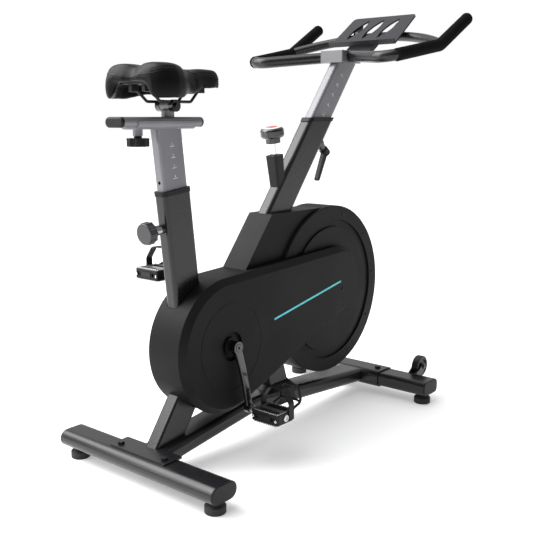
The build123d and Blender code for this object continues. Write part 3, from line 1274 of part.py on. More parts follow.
for place, x in (("rear", REAR_X), ("front", FRONT_X)):
    for hand, side in (("left", 1), ("right", -1)):
        with BuildPart() as foot:
            with BuildSketch():
                with Locations((x, side * FOOT_Y)):
                    Circle(FOOT_R)
            extrude(amount=17)
            chamfer(foot.faces().sort_by(Axis.Z)[0].edges(), 1.5)
            with BuildSketch(Plane.XY.offset(17)):
                with Locations((x, side * FOOT_Y)):
                    Circle(FOOT_R)
            extrude(amount=9, taper=40)
            with BuildSketch(Plane.XY.offset(26)):
                with Locations((x, side * FOOT_Y)):
                    RegularPolygon(9, 6)
            extrude(amount=5)
            with BuildSketch(Plane.XY.offset(31)):
                with Locations((x, side * FOOT_Y)):
                    Circle(5)
            extrude(amount=24)
        foot.part.label = f"{place}_{hand}_foot"
        export_step(foot.part, f"parts/{place}_{hand}_foot.step")

with BuildPart() as frame_bolts:
    for x in (REAR_X, FRONT_X):
        for y in (BOLT_Y, -BOLT_Y):
            with BuildSketch(Plane.XY.offset(PLATE_TOP)):
                with Locations((x, y)):
                    RegularPolygon(9, 6)
            extrude(amount=6)
            with BuildSketch(Plane.XY.offset(PLATE_TOP)):
                with Locations((x, y)):
                    Circle(5)
            extrude(amount=-26)
frame_bolts.part.label = "frame_bolts"
export_step(frame_bolts.part, "parts/frame_bolts.step")
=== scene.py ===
import math

import bpy
from mathutils import Matrix, Vector, noise
from mathutils.bvhtree import BVHTree


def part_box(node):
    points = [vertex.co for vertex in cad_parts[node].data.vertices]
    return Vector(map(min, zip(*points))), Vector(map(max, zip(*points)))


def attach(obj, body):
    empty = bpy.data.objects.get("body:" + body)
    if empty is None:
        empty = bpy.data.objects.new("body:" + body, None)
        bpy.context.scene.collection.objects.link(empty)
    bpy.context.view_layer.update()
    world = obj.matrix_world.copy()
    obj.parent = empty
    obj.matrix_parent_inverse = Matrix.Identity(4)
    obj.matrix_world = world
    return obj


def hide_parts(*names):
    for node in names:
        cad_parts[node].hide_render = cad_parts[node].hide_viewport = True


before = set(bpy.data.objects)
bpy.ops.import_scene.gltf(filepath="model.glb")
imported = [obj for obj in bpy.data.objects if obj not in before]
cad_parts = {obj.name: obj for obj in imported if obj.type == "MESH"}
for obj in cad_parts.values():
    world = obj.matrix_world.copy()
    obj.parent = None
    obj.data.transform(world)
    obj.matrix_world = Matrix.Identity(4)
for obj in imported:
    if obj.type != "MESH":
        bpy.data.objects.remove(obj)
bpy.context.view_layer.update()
MM = 0.001


# ---------------------------------------------------------------- node helpers
def add_node(tree, kind, inputs=None, **settings):
    """A new shader node with its settings, and its inputs linked or given values."""
    made = tree.nodes.new(kind)
    for key, value in settings.items():
        setattr(made, key, value)
    for key, value in (inputs or {}).items():
        if isinstance(value, bpy.types.NodeSocket):
            tree.links.new(value, made.inputs[key])
        else:
            made.inputs[key].default_value = value
    return made


def blend_colour(tree, share, low, high):
    """A colour between two, by a share."""
    mixed = add_node(tree, "ShaderNodeMix", data_type="RGBA")
    tree.links.new(share, mixed.inputs[0])
    for socket, value in ((mixed.inputs[6], low), (mixed.inputs[7], high)):
        if isinstance(value, bpy.types.NodeSocket):
            tree.links.new(value, socket)
        else:
            socket.default_value = (*value, 1)
    return mixed.outputs[2]


def remap(tree, value, low, high, start=0.0, end=1.0, clamp=True):
    """A value moved from one range to another."""
    inputs = {"Value": value, "From Min": start, "From Max": end, "To Min": low, "To Max": high}
    return add_node(tree, "ShaderNodeMapRange", inputs, clamp=clamp).outputs["Result"]


def noise_field(tree, vector, scale, detail, **more):
    """A noise texture's value at each point."""
    inputs = {"Vector": vector, "Scale": scale, "Detail": detail, **more}
    return add_node(tree, "ShaderNodeTexNoise", inputs).outputs["Fac"]


PATCH_SPREAD = (0.3, 0.7)       # where the broad noise mostly lies
MARK_SPREAD = (0.55, 0.8)       # the part of the rubbing noise that shows as marks
MARK_FINENESS = 9               # rubbed marks to a broad patch
MARK_DULLING = 0.04             # roughness that a rubbed mark adds
FLECK_GAIN = 1.7                # how much lighter a fleck is than the surface


def surface(name, dark, light, rough=(0.4, 0.5), grain=900, depth=0.05, patch=7, metallic=0.0,
            specular=0.5, coat=0.0, coat_rough=0.1, cells=False, speckle=0.25, brushed=None):
    """A finished surface: broad patches of tone and gloss over a fine grain, with faint rubbed marks."""
    mat = bpy.data.materials.new(name)
    mat.use_nodes = True
    tree = mat.node_tree
    shader = tree.nodes["Principled BSDF"]
    shader.inputs["Metallic"].default_value = metallic
    shader.inputs["Specular IOR Level"].default_value = specular
    shader.inputs["Coat Weight"].default_value = coat
    shader.inputs["Coat Roughness"].default_value = coat_rough
    place = add_node(tree, "ShaderNodeTexCoord").outputs["Object"]
    broad = noise_field(tree, place, patch, 4.0)
    spread = remap(tree, broad, 0.0, 1.0, *PATCH_SPREAD)
    grained = place
    if brushed:
        stretched = add_node(tree, "ShaderNodeMapping", {"Vector": place, "Scale": brushed})
        grained = stretched.outputs["Vector"]
    if cells:
        cell = add_node(tree, "ShaderNodeTexVoronoi", {"Vector": grained, "Scale": grain})
        fine = cell.outputs["Distance"]
    else:
        fine = noise_field(tree, grained, grain, 2.0, Roughness=0.6)
    rubbed = noise_field(tree, place, patch * MARK_FINENESS, 6.0, Distortion=1.5)
    marks = remap(tree, rubbed, 0.0, 1.0, *MARK_SPREAD)
    tone = blend_colour(tree, spread, dark, light)
    fleck = [min(1.0, c * FLECK_GAIN + 0.001) for c in light]
    flecked = blend_colour(tree, remap(tree, fine, 0.0, speckle, 0.45, 0.75), tone, fleck)
    tree.links.new(flecked, shader.inputs["Base Color"])
    gloss = {0: remap(tree, broad, *rough, *PATCH_SPREAD), 1: remap(tree, marks, 0.0, MARK_DULLING)}
    level = add_node(tree, "ShaderNodeMath", gloss, operation="ADD")
    tree.links.new(level.outputs[0], shader.inputs["Roughness"])
    bump = add_node(tree, "ShaderNodeBump", {"Height": fine, "Strength": 0.6, "Distance": depth * MM})
    tree.links.new(bump.outputs["Normal"], shader.inputs["Normal"])
    return mat


PAINT = surface("satin_black_paint", (0.0065, 0.0065, 0.0075), (0.010, 0.010, 0.0115),
                rough=(0.24, 0.32), grain=700, depth=0.03, specular=0.45)
POST = surface("grey_post_paint", (0.150, 0.150, 0.162), (0.200, 0.198, 0.212), rough=(0.34, 0.42),
               grain=800, depth=0.06, metallic=0.3)
BLOCK = surface("light_block_paint", (0.125, 0.125, 0.132), (0.155, 0.155, 0.166), rough=(0.36, 0.46),
                grain=800, depth=0.05, metallic=0.3)
HOUSING = surface("housing_plastic", (0.0036, 0.0036, 0.0040), (0.0054, 0.0054, 0.0060),
                  rough=(0.50, 0.60), grain=1500, depth=0.05, specular=0.16)
PLASTIC = surface("moulded_plastic", (0.0050, 0.0050, 0.0055), (0.0080, 0.0080, 0.0088),
                  rough=(0.38, 0.5), grain=1200, depth=0.06, specular=0.22)
KNOBS = surface("grey_knob_plastic", (0.022, 0.022, 0.025), (0.034, 0.034, 0.038), rough=(0.34, 0.44),
                grain=1200, depth=0.05)
GLOSS = surface("gloss_black", (0.0030, 0.0030, 0.0034), (0.0050, 0.0050, 0.0056), rough=(0.14, 0.22),
                grain=500, depth=0.01, coat=0.6, coat_rough=0.08)
STEEL = surface("plain_steel", (0.30, 0.30, 0.31), (0.42, 0.42, 0.43), rough=(0.26, 0.38), grain=300,
                depth=0.02, metallic=1.0)
DARK_STEEL = surface("blackened_steel", (0.014, 0.014, 0.016), (0.028, 0.028, 0.031),
                     rough=(0.28, 0.38), grain=300, depth=0.02, metallic=0.6)
CHROME = surface("chrome", (0.62, 0.63, 0.65), (0.74, 0.75, 0.77), rough=(0.06, 0.12), grain=300,
                 depth=0.004, metallic=1.0)
IRON = surface("cast_iron", (0.09, 0.09, 0.09), (0.14, 0.135, 0.13), rough=(0.45, 0.6), grain=420,
               depth=0.18, metallic=0.9)
ALLOY = surface("brushed_alloy", (0.42, 0.42, 0.44), (0.55, 0.55, 0.57), rough=(0.24, 0.36), grain=260,
                depth=0.02, metallic=1.0, brushed=(1, 12, 1))
RUBBER = surface("foot_rubber", (0.0075, 0.0075, 0.0085), (0.0125, 0.0125, 0.014), rough=(0.60, 0.74),
                 grain=900, depth=0.12)
FOAM = surface("grip_foam", (0.0045, 0.0045, 0.0050), (0.0080, 0.0080, 0.0085), rough=(0.70, 0.84),
               grain=620, depth=0.30, cells=True, specular=0.03)
VINYL = surface("saddle_vinyl", (0.0030, 0.0030, 0.0036), (0.0045, 0.0045, 0.0052), rough=(0.36, 0.42),
                grain=900, depth=0.02, cells=True, specular=0.10, patch=5)
TYRE = surface("wheel_rubber", (0.005, 0.005, 0.006), (0.009, 0.009, 0.0105), rough=(0.30, 0.44),
               grain=500, depth=0.04, specular=0.35)
TRAY = surface("textured_tray", (0.015, 0.015, 0.0175), (0.024, 0.024, 0.028), rough=(0.46, 0.56),
               grain=520, depth=0.25, speckle=0.5, specular=0.3)
# White for the printed scale marks, also used as a painted highlight ring on the brake knob's shoulder
WHITE_PRINT_AND_HIGHLIGHT = surface("white_print_and_painted_highlight", (0.66, 0.66, 0.66), (0.78, 0.78, 0.78), rough=(0.42, 0.5), grain=900,
                depth=0.02)
CYAN = surface("cyan_print", (0.060, 0.55, 0.61), (0.080, 0.64, 0.70), rough=(0.34, 0.42), grain=900,
               depth=0.02, speckle=0.05)
RED = surface("red_label", (0.50, 0.020, 0.025), (0.62, 0.030, 0.035), rough=(0.16, 0.24), grain=400,
              depth=0.01, coat=0.5, speckle=0.05)
THREAD = surface("saddle_thread", (0.020, 0.020, 0.022), (0.040, 0.040, 0.043), rough=(0.55, 0.7),
                 grain=2000, depth=0.1)

NODE_LOOKS = {
    PAINT: "rear_stabiliser front_stabiliser base_tube rear_strut down_tube seat_tube mid_post "
           "wheel_brackets magnet_bracket tray_bracket handlebar",
    POST: "seat_post handlebar_post seat_slider",
    BLOCK: "clamp_block",
    HOUSING: "right_shroud left_shroud belt_cover drive_pulley",
    PLASTIC: "end_caps post_boot seat_collar head_collar brake_sleeve slider_plugs right_pedal "
             "left_pedal right_toe_clip left_toe_clip saddle_base slider_knob clamp_lever",
    KNOBS: "seat_pin_knob",
    GLOSS: "right_crank left_crank brake_knob saddle_clamp crank_bolts",
    STEEL: "bearings seat_pin flywheel_axle crank_spindle right_pedal_spindle left_pedal_spindle "
           "brake_magnets",
    DARK_STEEL: "frame_bolts saddle_rails",
    CHROME: "brake_rod",
    IRON: "flywheel",
    ALLOY: "driven_pulley",
    RUBBER: "rear_left_foot rear_right_foot front_left_foot front_right_foot drive_belt",
    TYRE: "left_wheel right_wheel",
    TRAY: "tray",
}
for look, names in NODE_LOOKS.items():
    for node_name in names.split():
        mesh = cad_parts[node_name].data
        mesh.materials.clear()
        mesh.materials.append(look)


# ---------------------------------------------------------------- mesh helpers
def piece(name, verts, faces, looks, body, picks=None, smooth=40):
    """A named mesh that rides on a body. picks gives each face's place in looks."""
    data = bpy.data.meshes.new(name)
    data.from_pydata([tuple(v) for v in verts], [], faces)
    for look in looks if isinstance(looks, (list, tuple)) else [looks]:
        data.materials.append(look)
    if picks:
        data.polygons.foreach_set("material_index", picks)
    data.validate()
    obj = bpy.data.objects.new(name, data)
    bpy.context.scene.collection.objects.link(obj)
    smooth_by_angle(obj, smooth)
    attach(obj, body)
    return obj


def smooth_by_angle(obj, degrees):
    """Shades smooth, with edges sharper than an angle kept crisp."""
    data = obj.data
    data.polygons.foreach_set("use_smooth", [True] * len(data.polygons))
    data.set_sharp_from_angle(angle=math.radians(degrees))


class Build:
    """Collects vertices and faces of a piece made of several closed forms."""

    def __init__(self):
        self.verts, self.faces, self.picks = [], [], []

    def add(self, verts, faces, pick=0):
        base = len(self.verts)
        self.verts += [Vector(v) for v in verts]
        self.faces += [[i + base for i in face] for face in faces]
        self.picks += [pick] * len(faces)

    def rings(self, rings, pick=0, closed=True):
        """Joins rings of equal counts into a tube, with flat ends where closed."""
        count = len(rings[0])
        verts = [v for ring in rings for v in ring]
        faces = []
        for r in range(len(rings) - 1):
            for i in range(count):
                j = (i + 1) % count
                faces.append((r * count + i, r * count + j, (r + 1) * count + j, (r + 1) * count + i))
        if closed:
            faces.append(tuple(reversed(range(count))))
            faces.append(tuple((len(rings) - 1) * count + i for i in range(count)))
        self.add(verts, faces, pick)

    def lathe(self, origin, axis, profile, count=32, pick=0):
        """Turns (radius, distance along the axis) points about an axis."""
        u, v = cross_axes(axis)
        n = Vector(axis).normalized()
        rings = []
        for radius, along in profile:
            ring = []
            for i in range(count):
                a = 2 * math.pi * i / count
                ring.append(Vector(origin) + n * along + (u * math.cos(a) + v * math.sin(a)) * radius)
            rings.append(ring)
        self.rings(rings, pick)

    def prism(self, outline, lift, pick=0, bevel=0.0):
        """A closed outline pushed out along lift, with its far edge drawn in by bevel."""
        lift = Vector(lift)
        centre = sum((Vector(p) for p in outline), Vector()) / len(outline)
        shoulder = [Vector(p) + lift * (1 - bevel / max(lift.length, 1e-9)) for p in outline]
        top = [Vector(p) + lift + (centre - Vector(p)).normalized() * bevel for p in outline]
        self.rings([[Vector(p) for p in outline], shoulder, top] if bevel else
                   [[Vector(p) for p in outline], top], pick)

    def make(self, name, looks, body, slot=None, smooth=40):
        return piece(name, self.verts, self.faces, looks, body, self.picks, smooth)


def metres(profile):
    """Profile points that are given in millimetres."""
    return [(radius * MM, along * MM) for radius, along in profile]


def cross_axes(axis):
    """Two unit directions square to an axis."""
    n = Vector(axis).normalized()
    u = n.orthogonal().normalized()
    return u, n.cross(u)


def rounded(width, height, radius, steps=5):
    """Points of a rounded rectangle about the origin."""
    points = []
    for cx, cy, start in ((1, 1, 0), (-1, 1, 90), (-1, -1, 180), (1, -1, 270)):
        for k in range(steps + 1):
            a = math.radians(start + 90 * k / steps)
            points.append((cx * (width / 2 - radius) + radius * math.cos(a),
                           cy * (height / 2 - radius) + radius * math.sin(a)))
    return points


def on_plane(points, origin, x_dir, y_dir):
    """Flat points placed on a plane in space."""
    o, x, y = Vector(origin), Vector(x_dir), Vector(y_dir)
    return [o + x * p[0] + y * p[1] for p in points]


def sweep_rings(points, radius_at, count=32):
    """Rings along a smooth path, kept from twisting."""
    points = [Vector(p) for p in points]
    rings, total, run = [], 0.0, [0.0]
    for a, b in zip(points, points[1:]):
        total += (b - a).length
        run.append(total)
    normal = None
    for i, p in enumerate(points):
        ahead = (points[min(i + 1, len(points) - 1)] - points[max(i - 1, 0)]).normalized()
        normal = ahead.orthogonal() if normal is None else normal - ahead * normal.dot(ahead)
        normal.normalize()
        side = ahead.cross(normal)
        ring = []
        for k in range(count):
            a = 2 * math.pi * k / count
            r = radius_at(run[i], total, a, p)
            ring.append(p + (normal * math.cos(a) + side * math.sin(a)) * r)
        rings.append(ring)
    return rings


def filleted(points, radius, step):
    """A polyline with its corners rounded, sampled every step."""
    points = [Vector(p) for p in points]
    nodes = [points[0]]
    for a, b, c in zip(points, points[1:], points[2:]):
        back, ahead = (a - b).normalized(), (c - b).normalized()
        angle = back.angle(ahead)
        reach = radius / math.tan(angle / 2)
        centre = b + (back + ahead).normalized() * radius / math.sin(angle / 2)
        start, end = b + back * reach, b + ahead * reach
        turns = max(3, int(math.pi * radius / step / 3))
        from_spoke, to_spoke = (start - centre).normalized(), (end - centre).normalized()
        for k in range(turns + 1):
            nodes.append(centre + from_spoke.slerp(to_spoke, k / turns) * radius)
    nodes.append(points[-1])
    path = [nodes[0]]
    for a, b in zip(nodes, nodes[1:]):
        parts = max(1, int((b - a).length / step))
        path += [a.lerp(b, (k + 1) / parts) for k in range(parts)]
    return path


def lean(degrees):
    """The direction along a tube that leans forward, and the direction across it."""
    a = math.radians(degrees)
    return Vector((math.sin(a), 0, math.cos(a))), Vector((math.cos(a), 0, -math.sin(a)))


# ---------------------------------------------------------------- printed marks
PRINT = 0.12 * MM                                   # how far ink stands off
MARK_WIDTH, MARK_HEIGHT, MARK_CORNER = 14 * MM, 1.1 * MM, 0.4 * MM
DIGIT_SIZE, DIGIT_GAP = 8.5 * MM, 2.0 * MM
POST_FACE = -15 * MM                                # the right face of both posts
SEAT_FOOT, SEAT_LEAN, SEAT_MARKS = (-357, 380), -6.7, (426, 399.5, 375, 350.5)
HEAD_FOOT, HEAD_LEAN, HEAD_MARKS = (-65.7, 540), 37.8, (569, 533, 497, 460, 424)


def digit_mesh(number):
    """A flat digit, standing on the origin."""
    text = bpy.data.curves.new("digit", "FONT")
    text.body = str(number)
    text.size = DIGIT_SIZE
    text.align_x = "CENTER"
    text.extrude = PRINT / 2
    holder = bpy.data.objects.new("digit", text)
    bpy.context.scene.collection.objects.link(holder)
    bpy.context.view_layer.update()
    mesh = bpy.data.meshes.new_from_object(holder)
    bpy.data.objects.remove(holder)
    return mesh


def scale_marks(name, body, foot, degrees, marks):
    """White lines with digits on the right face of a post."""
    along, across = lean(degrees)
    turn = Matrix((across, along, across.cross(along))).transposed()
    build = Build()
    for number, n in enumerate(marks, 1):
        centre = Vector((foot[0] * MM, POST_FACE, foot[1] * MM)) + along * n * MM
        line_points = on_plane(rounded(MARK_WIDTH, MARK_HEIGHT, MARK_CORNER, 2), centre, across, along)
        build.prism(line_points, (0, -PRINT, 0))
        digit = digit_mesh(number)
        shift = centre + along * DIGIT_GAP + Vector((0, -PRINT / 2, 0))
        placed = [turn @ v.co + shift for v in digit.vertices]
        build.add(placed, [tuple(p.vertices) for p in digit.polygons])
    return build.make(name, WHITE_PRINT_AND_HIGHLIGHT, body, smooth=20)


scale_marks("seat_post_scale", "seat_lift", SEAT_FOOT, SEAT_LEAN, SEAT_MARKS)
scale_marks("bar_post_scale", "bar_lift", HEAD_FOOT, HEAD_LEAN, HEAD_MARKS)

# Printed line across the belt cover
STRIPE_ENDS = ((-107, 340), (202, 396))
STRIPE_WIDTH, STRIPE_THICK, COVER_FACE = 5.4 * MM, 0.3 * MM, -80 * MM
stripe_from, stripe_to = (Vector((x * MM, COVER_FACE, z * MM)) for x, z in STRIPE_ENDS)
stripe_dir = (stripe_to - stripe_from).normalized()
stripe_up = Vector((-stripe_dir.z, 0, stripe_dir.x))
stripe_outline = rounded((stripe_to - stripe_from).length, STRIPE_WIDTH, STRIPE_WIDTH / 2.01, 8)
stripe = Build()
stripe.prism(on_plane(stripe_outline, (stripe_from + stripe_to) / 2, stripe_dir, stripe_up),
             (0, -STRIPE_THICK, 0), bevel=STRIPE_THICK / 2)
stripe.make("cover_stripe", CYAN, "root")


# ---------------------------------------------------------------- screws
def pan_screw(build, centre, axis, radius, pick=0):
    """A domed screw head with a six-lobed socket."""
    n = Vector(axis).normalized()
    head = radius * 0.55
    profile = [(radius, -0.2 * MM), (radius, head * 0.35)]
    profile += [(radius * math.cos(a), head * (0.35 + 0.65 * math.sin(a))) for a in (0.35, 0.7, 1.0)]
    profile += [(radius * 0.42, head), (radius * 0.38, head * 0.35), (radius * 0.02, head * 0.3)]
    build.lathe(centre, n, profile, 24, pick)


cover_screws = Build()
pan_screw(cover_screws, (211.5 * MM, COVER_FACE, 372 * MM), (0, -1, 0), 4.2 * MM)
cover_screws.make("cover_screw", DARK_STEEL, "root", "steel")
HUB, RIM, DISC_FACE = Vector((193, 0, 370)) * MM, 226 * MM, 50 * MM


def rim_screws(name, angles, side, radius):
    """Screws round the flywheel housing, on its left (1) or right (-1)."""
    build = Build()
    for angle in angles:
        a = math.radians(angle)
        spot = HUB + Vector((math.cos(a), 0, math.sin(a))) * RIM
        pan_screw(build, (spot.x, side * DISC_FACE, spot.z), (0, side, 0), radius)
    build.make(name, DARK_STEEL, "root", "steel")


rim_screws("left_housing_screws", range(15, 375, 60), 1, 4.2 * MM)
rim_screws("right_housing_screws", (75, 40, 5, -30, -65), -1, 3.6 * MM)

# ---------------------------------------------------------------- brake knob label, with a painted highlight ring
ROD_FOOT, ROD_HEAD = Vector((28.2, 0, 539.6)), Vector((-17.3, 0, 812))
ROD_LENGTH, KNOB_HEIGHT = 276.2, 30
# The white ring round the knob's rounded shoulder is a painted highlight; the red disc inside it is the
# knob's label
PAINTED_HIGHLIGHT_RIM = [(24.5, -0.3), (24.5, 0.4), (22, 1.3), (17, 2.2), (16.6, 2.25)]
LABEL_MIDDLE = [(16.8, 2.0), (16.4, 2.6), (11, 3.3), (5, 3.7), (0.3, 3.8)]
knob_axis = (ROD_HEAD - ROD_FOOT).normalized()
knob_top = (ROD_FOOT + knob_axis * (ROD_LENGTH + KNOB_HEIGHT)) * MM
label_and_highlight = Build()
label_and_highlight.lathe(knob_top, knob_axis, metres(PAINTED_HIGHLIGHT_RIM), 48, 0)
label_and_highlight.lathe(knob_top, knob_axis, metres(LABEL_MIDDLE), 48, 1)
label_and_highlight.make("brake_knob_label_and_highlight", [WHITE_PRINT_AND_HIGHLIGHT, RED], "brake_turn", "gloss_black")


# ---------------------------------------------------------------- pedals
TOOTH_SHARES = (0.3, 0.6, 0.85)     # where a tooth has risen, where it starts to fall and where it ends


def tooth_line(length, pitch, low, high):
    """The toothed long edge of a pedal plate, as (along, height) points."""
    count = int(length / pitch)
    step = length / count
    risen, falling, ended = TOOTH_SHARES
    points = []
    for k in range(count):
        start = -length / 2 + k * length / count
        points += [(start, low), (start + risen * step, high), (start + falling * step, high),
                   (start + ended * step, low)]
    return points + [(length / 2, low)]


PLATE_LENGTH, PLATE_PITCH, PLATE_THICK, PLATE_INSET = 72 * MM, 7.2 * MM, 1.6 * MM, 4 * MM
PLATE_ROOT, PLATE_TIP, PLATE_SUNK = 1.2 * MM, 3.2 * MM, 1.5 * MM
STRIP_LENGTH, STRIP_WIDTH, STRIP_THICK, STRIP_AT = 58 * MM, 7 * MM, 1.1 * MM, 36.5 * MM
SPINE_LENGTH, SPINE_WIDTH, SPINE_THICK = 64 * MM, 12 * MM, 1.0 * MM
LENS_LENGTH, LENS_HEIGHT, LENS_THICK = 34 * MM, 13 * MM, 1.6 * MM
PEDAL_SCREW_AT, PEDAL_SCREW_DROP, PEDAL_SCREW_RADIUS = 36 * MM, 2 * MM, 3.4 * MM
TRIM_CORNER, TRIM_BEVEL = 2 * MM, 0.4 * MM
BEARING_CAP = [(9, -0.5), (9, 1.2), (8.2, 2.2), (4, 2.6), (3.6, 1.4), (0.2, 1.3)]


def flat_trim(build, length, width, thick, centre, up):
    """A thin plate with rounded corners that lies on a pedal's flat side."""
    outline = on_plane(rounded(length, width, TRIM_CORNER), centre, (1, 0, 0), (0, 1, 0))
    build.prism(outline, (0, 0, up * thick), bevel=TRIM_BEVEL)


def toothed_plate(build, centre, half, fore, up):
    """One long cage plate with its teeth standing out of the pedal."""
    x = centre.x + fore * (half.x - PLATE_INSET)
    edge = tooth_line(PLATE_LENGTH, PLATE_PITCH, PLATE_ROOT, PLATE_TIP)
    top = [Vector((x, centre.y + along, centre.z + up * (half.z + height))) for along, height in edge]
    bottom = [Vector((p.x, p.y, centre.z + up * (half.z - PLATE_SUNK))) for p in (top[-1], top[0])]
    build.prism(top + bottom, (fore * PLATE_THICK, 0, 0))


def pedal_trim(hand, side):
    """Steel cage plates, their screws, reflectors and the bearing cap of a pedal."""
    low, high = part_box(f"{hand}_pedal")
    centre, half = (low + high) / 2, (high - low) / 2
    body = f"{hand}_pedal_body"
    plates, screws, lenses = Build(), Build(), Build()
    for up in (1, -1):
        face_z = centre.z + up * half.z
        for fore in (1, -1):
            toothed_plate(plates, centre, half, fore, up)
        for across in (1, -1):
            flat_trim(plates, STRIP_LENGTH, STRIP_WIDTH, STRIP_THICK,
                      (centre.x, centre.y + across * STRIP_AT, face_z), up)
        flat_trim(plates, SPINE_WIDTH, SPINE_LENGTH, SPINE_THICK, (centre.x, centre.y, face_z), up)
    for fore in (1, -1):
        face = centre.x + fore * half.x
        for across in (1, -1):
            spot = (face, centre.y + across * PEDAL_SCREW_AT, centre.z - PEDAL_SCREW_DROP)
            pan_screw(screws, spot, (fore, 0, 0), PEDAL_SCREW_RADIUS)
        lens_outline = rounded(LENS_LENGTH, LENS_HEIGHT, TRIM_CORNER)
        lens = on_plane(lens_outline, (face, centre.y, centre.z), (0, 1, 0), (0, 0, 1))
        lenses.prism(lens, (fore * LENS_THICK, 0, 0), bevel=0.5 * MM)
    outer = Vector((centre.x, centre.y + side * half.y, centre.z))
    plates.lathe(outer, (0, side, 0), metres(BEARING_CAP), 32)
    plates.make(f"{hand}_pedal_plates", ALLOY, body, "alloy", smooth=30)
    screws.make(f"{hand}_pedal_screws", CHROME, body, "chrome")
    lenses.make(f"{hand}_pedal_reflectors", DARK_STEEL, body, "black_plastic")


pedal_trim("right", -1)
pedal_trim("left", 1)

# ---------------------------------------------------------------- foam grips
REAR, BEND, TIP = Vector((153, 245, 1025)), Vector((405, 266, 1071)), Vector((559, 271, 1158))
GRIP_FROM = REAR + (BEND - REAR) * 0.17
GRIP_TO = TIP + (TIP - BEND).normalized() * 4.6
FOAM_RADIUS, FOAM_WOBBLE, WOBBLES = 17.55 * MM, 0.22 * MM, 38
LIP_LENGTH, LIP_DIP, DOME_LENGTH, DOME_TIP = 3 * MM, 0.08, 9 * MM, 0.6 * MM
BEND_RADIUS, GRIP_STEP = 30 * MM, 4 * MM
DOME_STEPS = (9, 6.5, 4.2, 2.4, 1.1, 0.3, 0)        # distances from the tip


def foam_radius(run, total, angle, p):
    """The foam's radius, a little uneven, with a lip at its open end and a domed tip."""
    spot = p * WOBBLES + Vector((math.cos(angle), math.sin(angle), 0)) * 0.9
    base = FOAM_RADIUS + FOAM_WOBBLE * noise.noise(spot)
    lip = min(1.0, 1 - LIP_DIP + LIP_DIP * math.sqrt(min(1.0, run / LIP_LENGTH)))
    dome = math.sqrt(max(0.0, 1 - (1 - min(1.0, (total - run) / DOME_LENGTH)) ** 2))
    return max(DOME_TIP, base * lip * dome)


grips = Build()
for hand in (1, -1):
    route = [Vector((p.x, hand * p.y, p.z)) * MM for p in (GRIP_FROM, BEND, GRIP_TO)]
    path = filleted(route, BEND_RADIUS, GRIP_STEP)
    tail = path[-1]
    heading = (path[-1] - path[-2]).normalized()
    path = [p for p in path if (p - tail).length > DOME_LENGTH + 0.5 * MM]
    path += [tail - heading * d * MM for d in DOME_STEPS]
    grips.rings(sweep_rings(path, foam_radius, 40))
grip_piece = grips.make("foam_grips", FOAM, "bar_lift", "foam", smooth=50)
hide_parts("handlebar_grips")

# ---------------------------------------------------------------- saddle
HALF_OUTLINE = [(-522, 0), (-529, 28), (-530, 52), (-526, 76), (-514, 94), (-496, 106), (-470, 111),
                (-444, 104), (-418, 87), (-395, 67), (-372, 50), (-348, 39), (-322, 33), (-296, 31),
                (-272, 30), (-255, 26), (-243, 17), (-237, 6)]
CROWN, SKIRT, HOLLOW = 985, 907, 946.5      # heights of the top, the lowest edge and the flat underneath


def smoothstep(x, low, high):
    t = min(1.0, max(0.0, (x - low) / (high - low)))
    return t * t * (3 - 2 * t)


def saddle_outline(count):
    """Points round the saddle's plan, evenly spaced."""
    half = [Vector((x, y, 0)) for x, y in HALF_OUTLINE]
    loop = half + [Vector((p.x, -p.y, 0)) for p in reversed(half[1:])]
    total = sum((b - a).length for a, b in zip(loop, loop[1:] + loop[:1]))
    points, run, i = [], 0.0, 0
    seg = (loop[1] - loop[0]).length
    for k in range(count):
        goal = total * k / count
        while run + seg < goal:
            run += seg
            i += 1
            seg = (loop[(i + 1) % len(loop)] - loop[i % len(loop)]).length
        points.append(loop[i % len(loop)].lerp(loop[(i + 1) % len(loop)], (goal - run) / seg))
    return points


def saddle_top(x, y):
    """Height of the saddle's crown: high wings with a valley between, a dip, and a raised nose."""
    line = CROWN - 10 * smoothstep(x, -470, -390) + 4 * smoothstep(x, -350, -300)
    line -= 7 * smoothstep(x, -268, -236) + 9 * smoothstep(-x, 500, 532)
    valley = 8 * math.exp(-(y / 26) ** 2) * (1 - smoothstep(x, -440, -360))
    return line - valley


def saddle_bottom(x, y):
    """Height of the lower edge: deep skirts at the sides of the rear, an arch behind, a thin nose."""
    side = SKIRT + 12 * smoothstep(x, -455, -400) + 13 * smoothstep(x, -365, -300)
    arch = SKIRT + 39 * (1 - smoothstep(abs(y), 54, 86)) * smoothstep(-x, 478, 505)
    return max(side, arch)


def spine(p):
    """The point on the saddle's middle line that its rings shrink to."""
    return Vector((min(-262, max(-470, p.x)), 0, 0))


OUTLINE = saddle_outline(112)
TOP_RINGS = [(0.0, 0), (0.18, 0), (0.36, 0), (0.52, 0.4), (0.66, 1.4), (0.78, 3.6), (0.87, 7.5)]
WALL_RINGS = [(0.93, 0.16), (0.97, 0.34), (0.985, 0.55), (0.97, 0.78), (0.935, 0.94)]
UNDER_RINGS = [0.90, 0.86, 0.80, 0.7, 0.5, 0.3, 0.0]


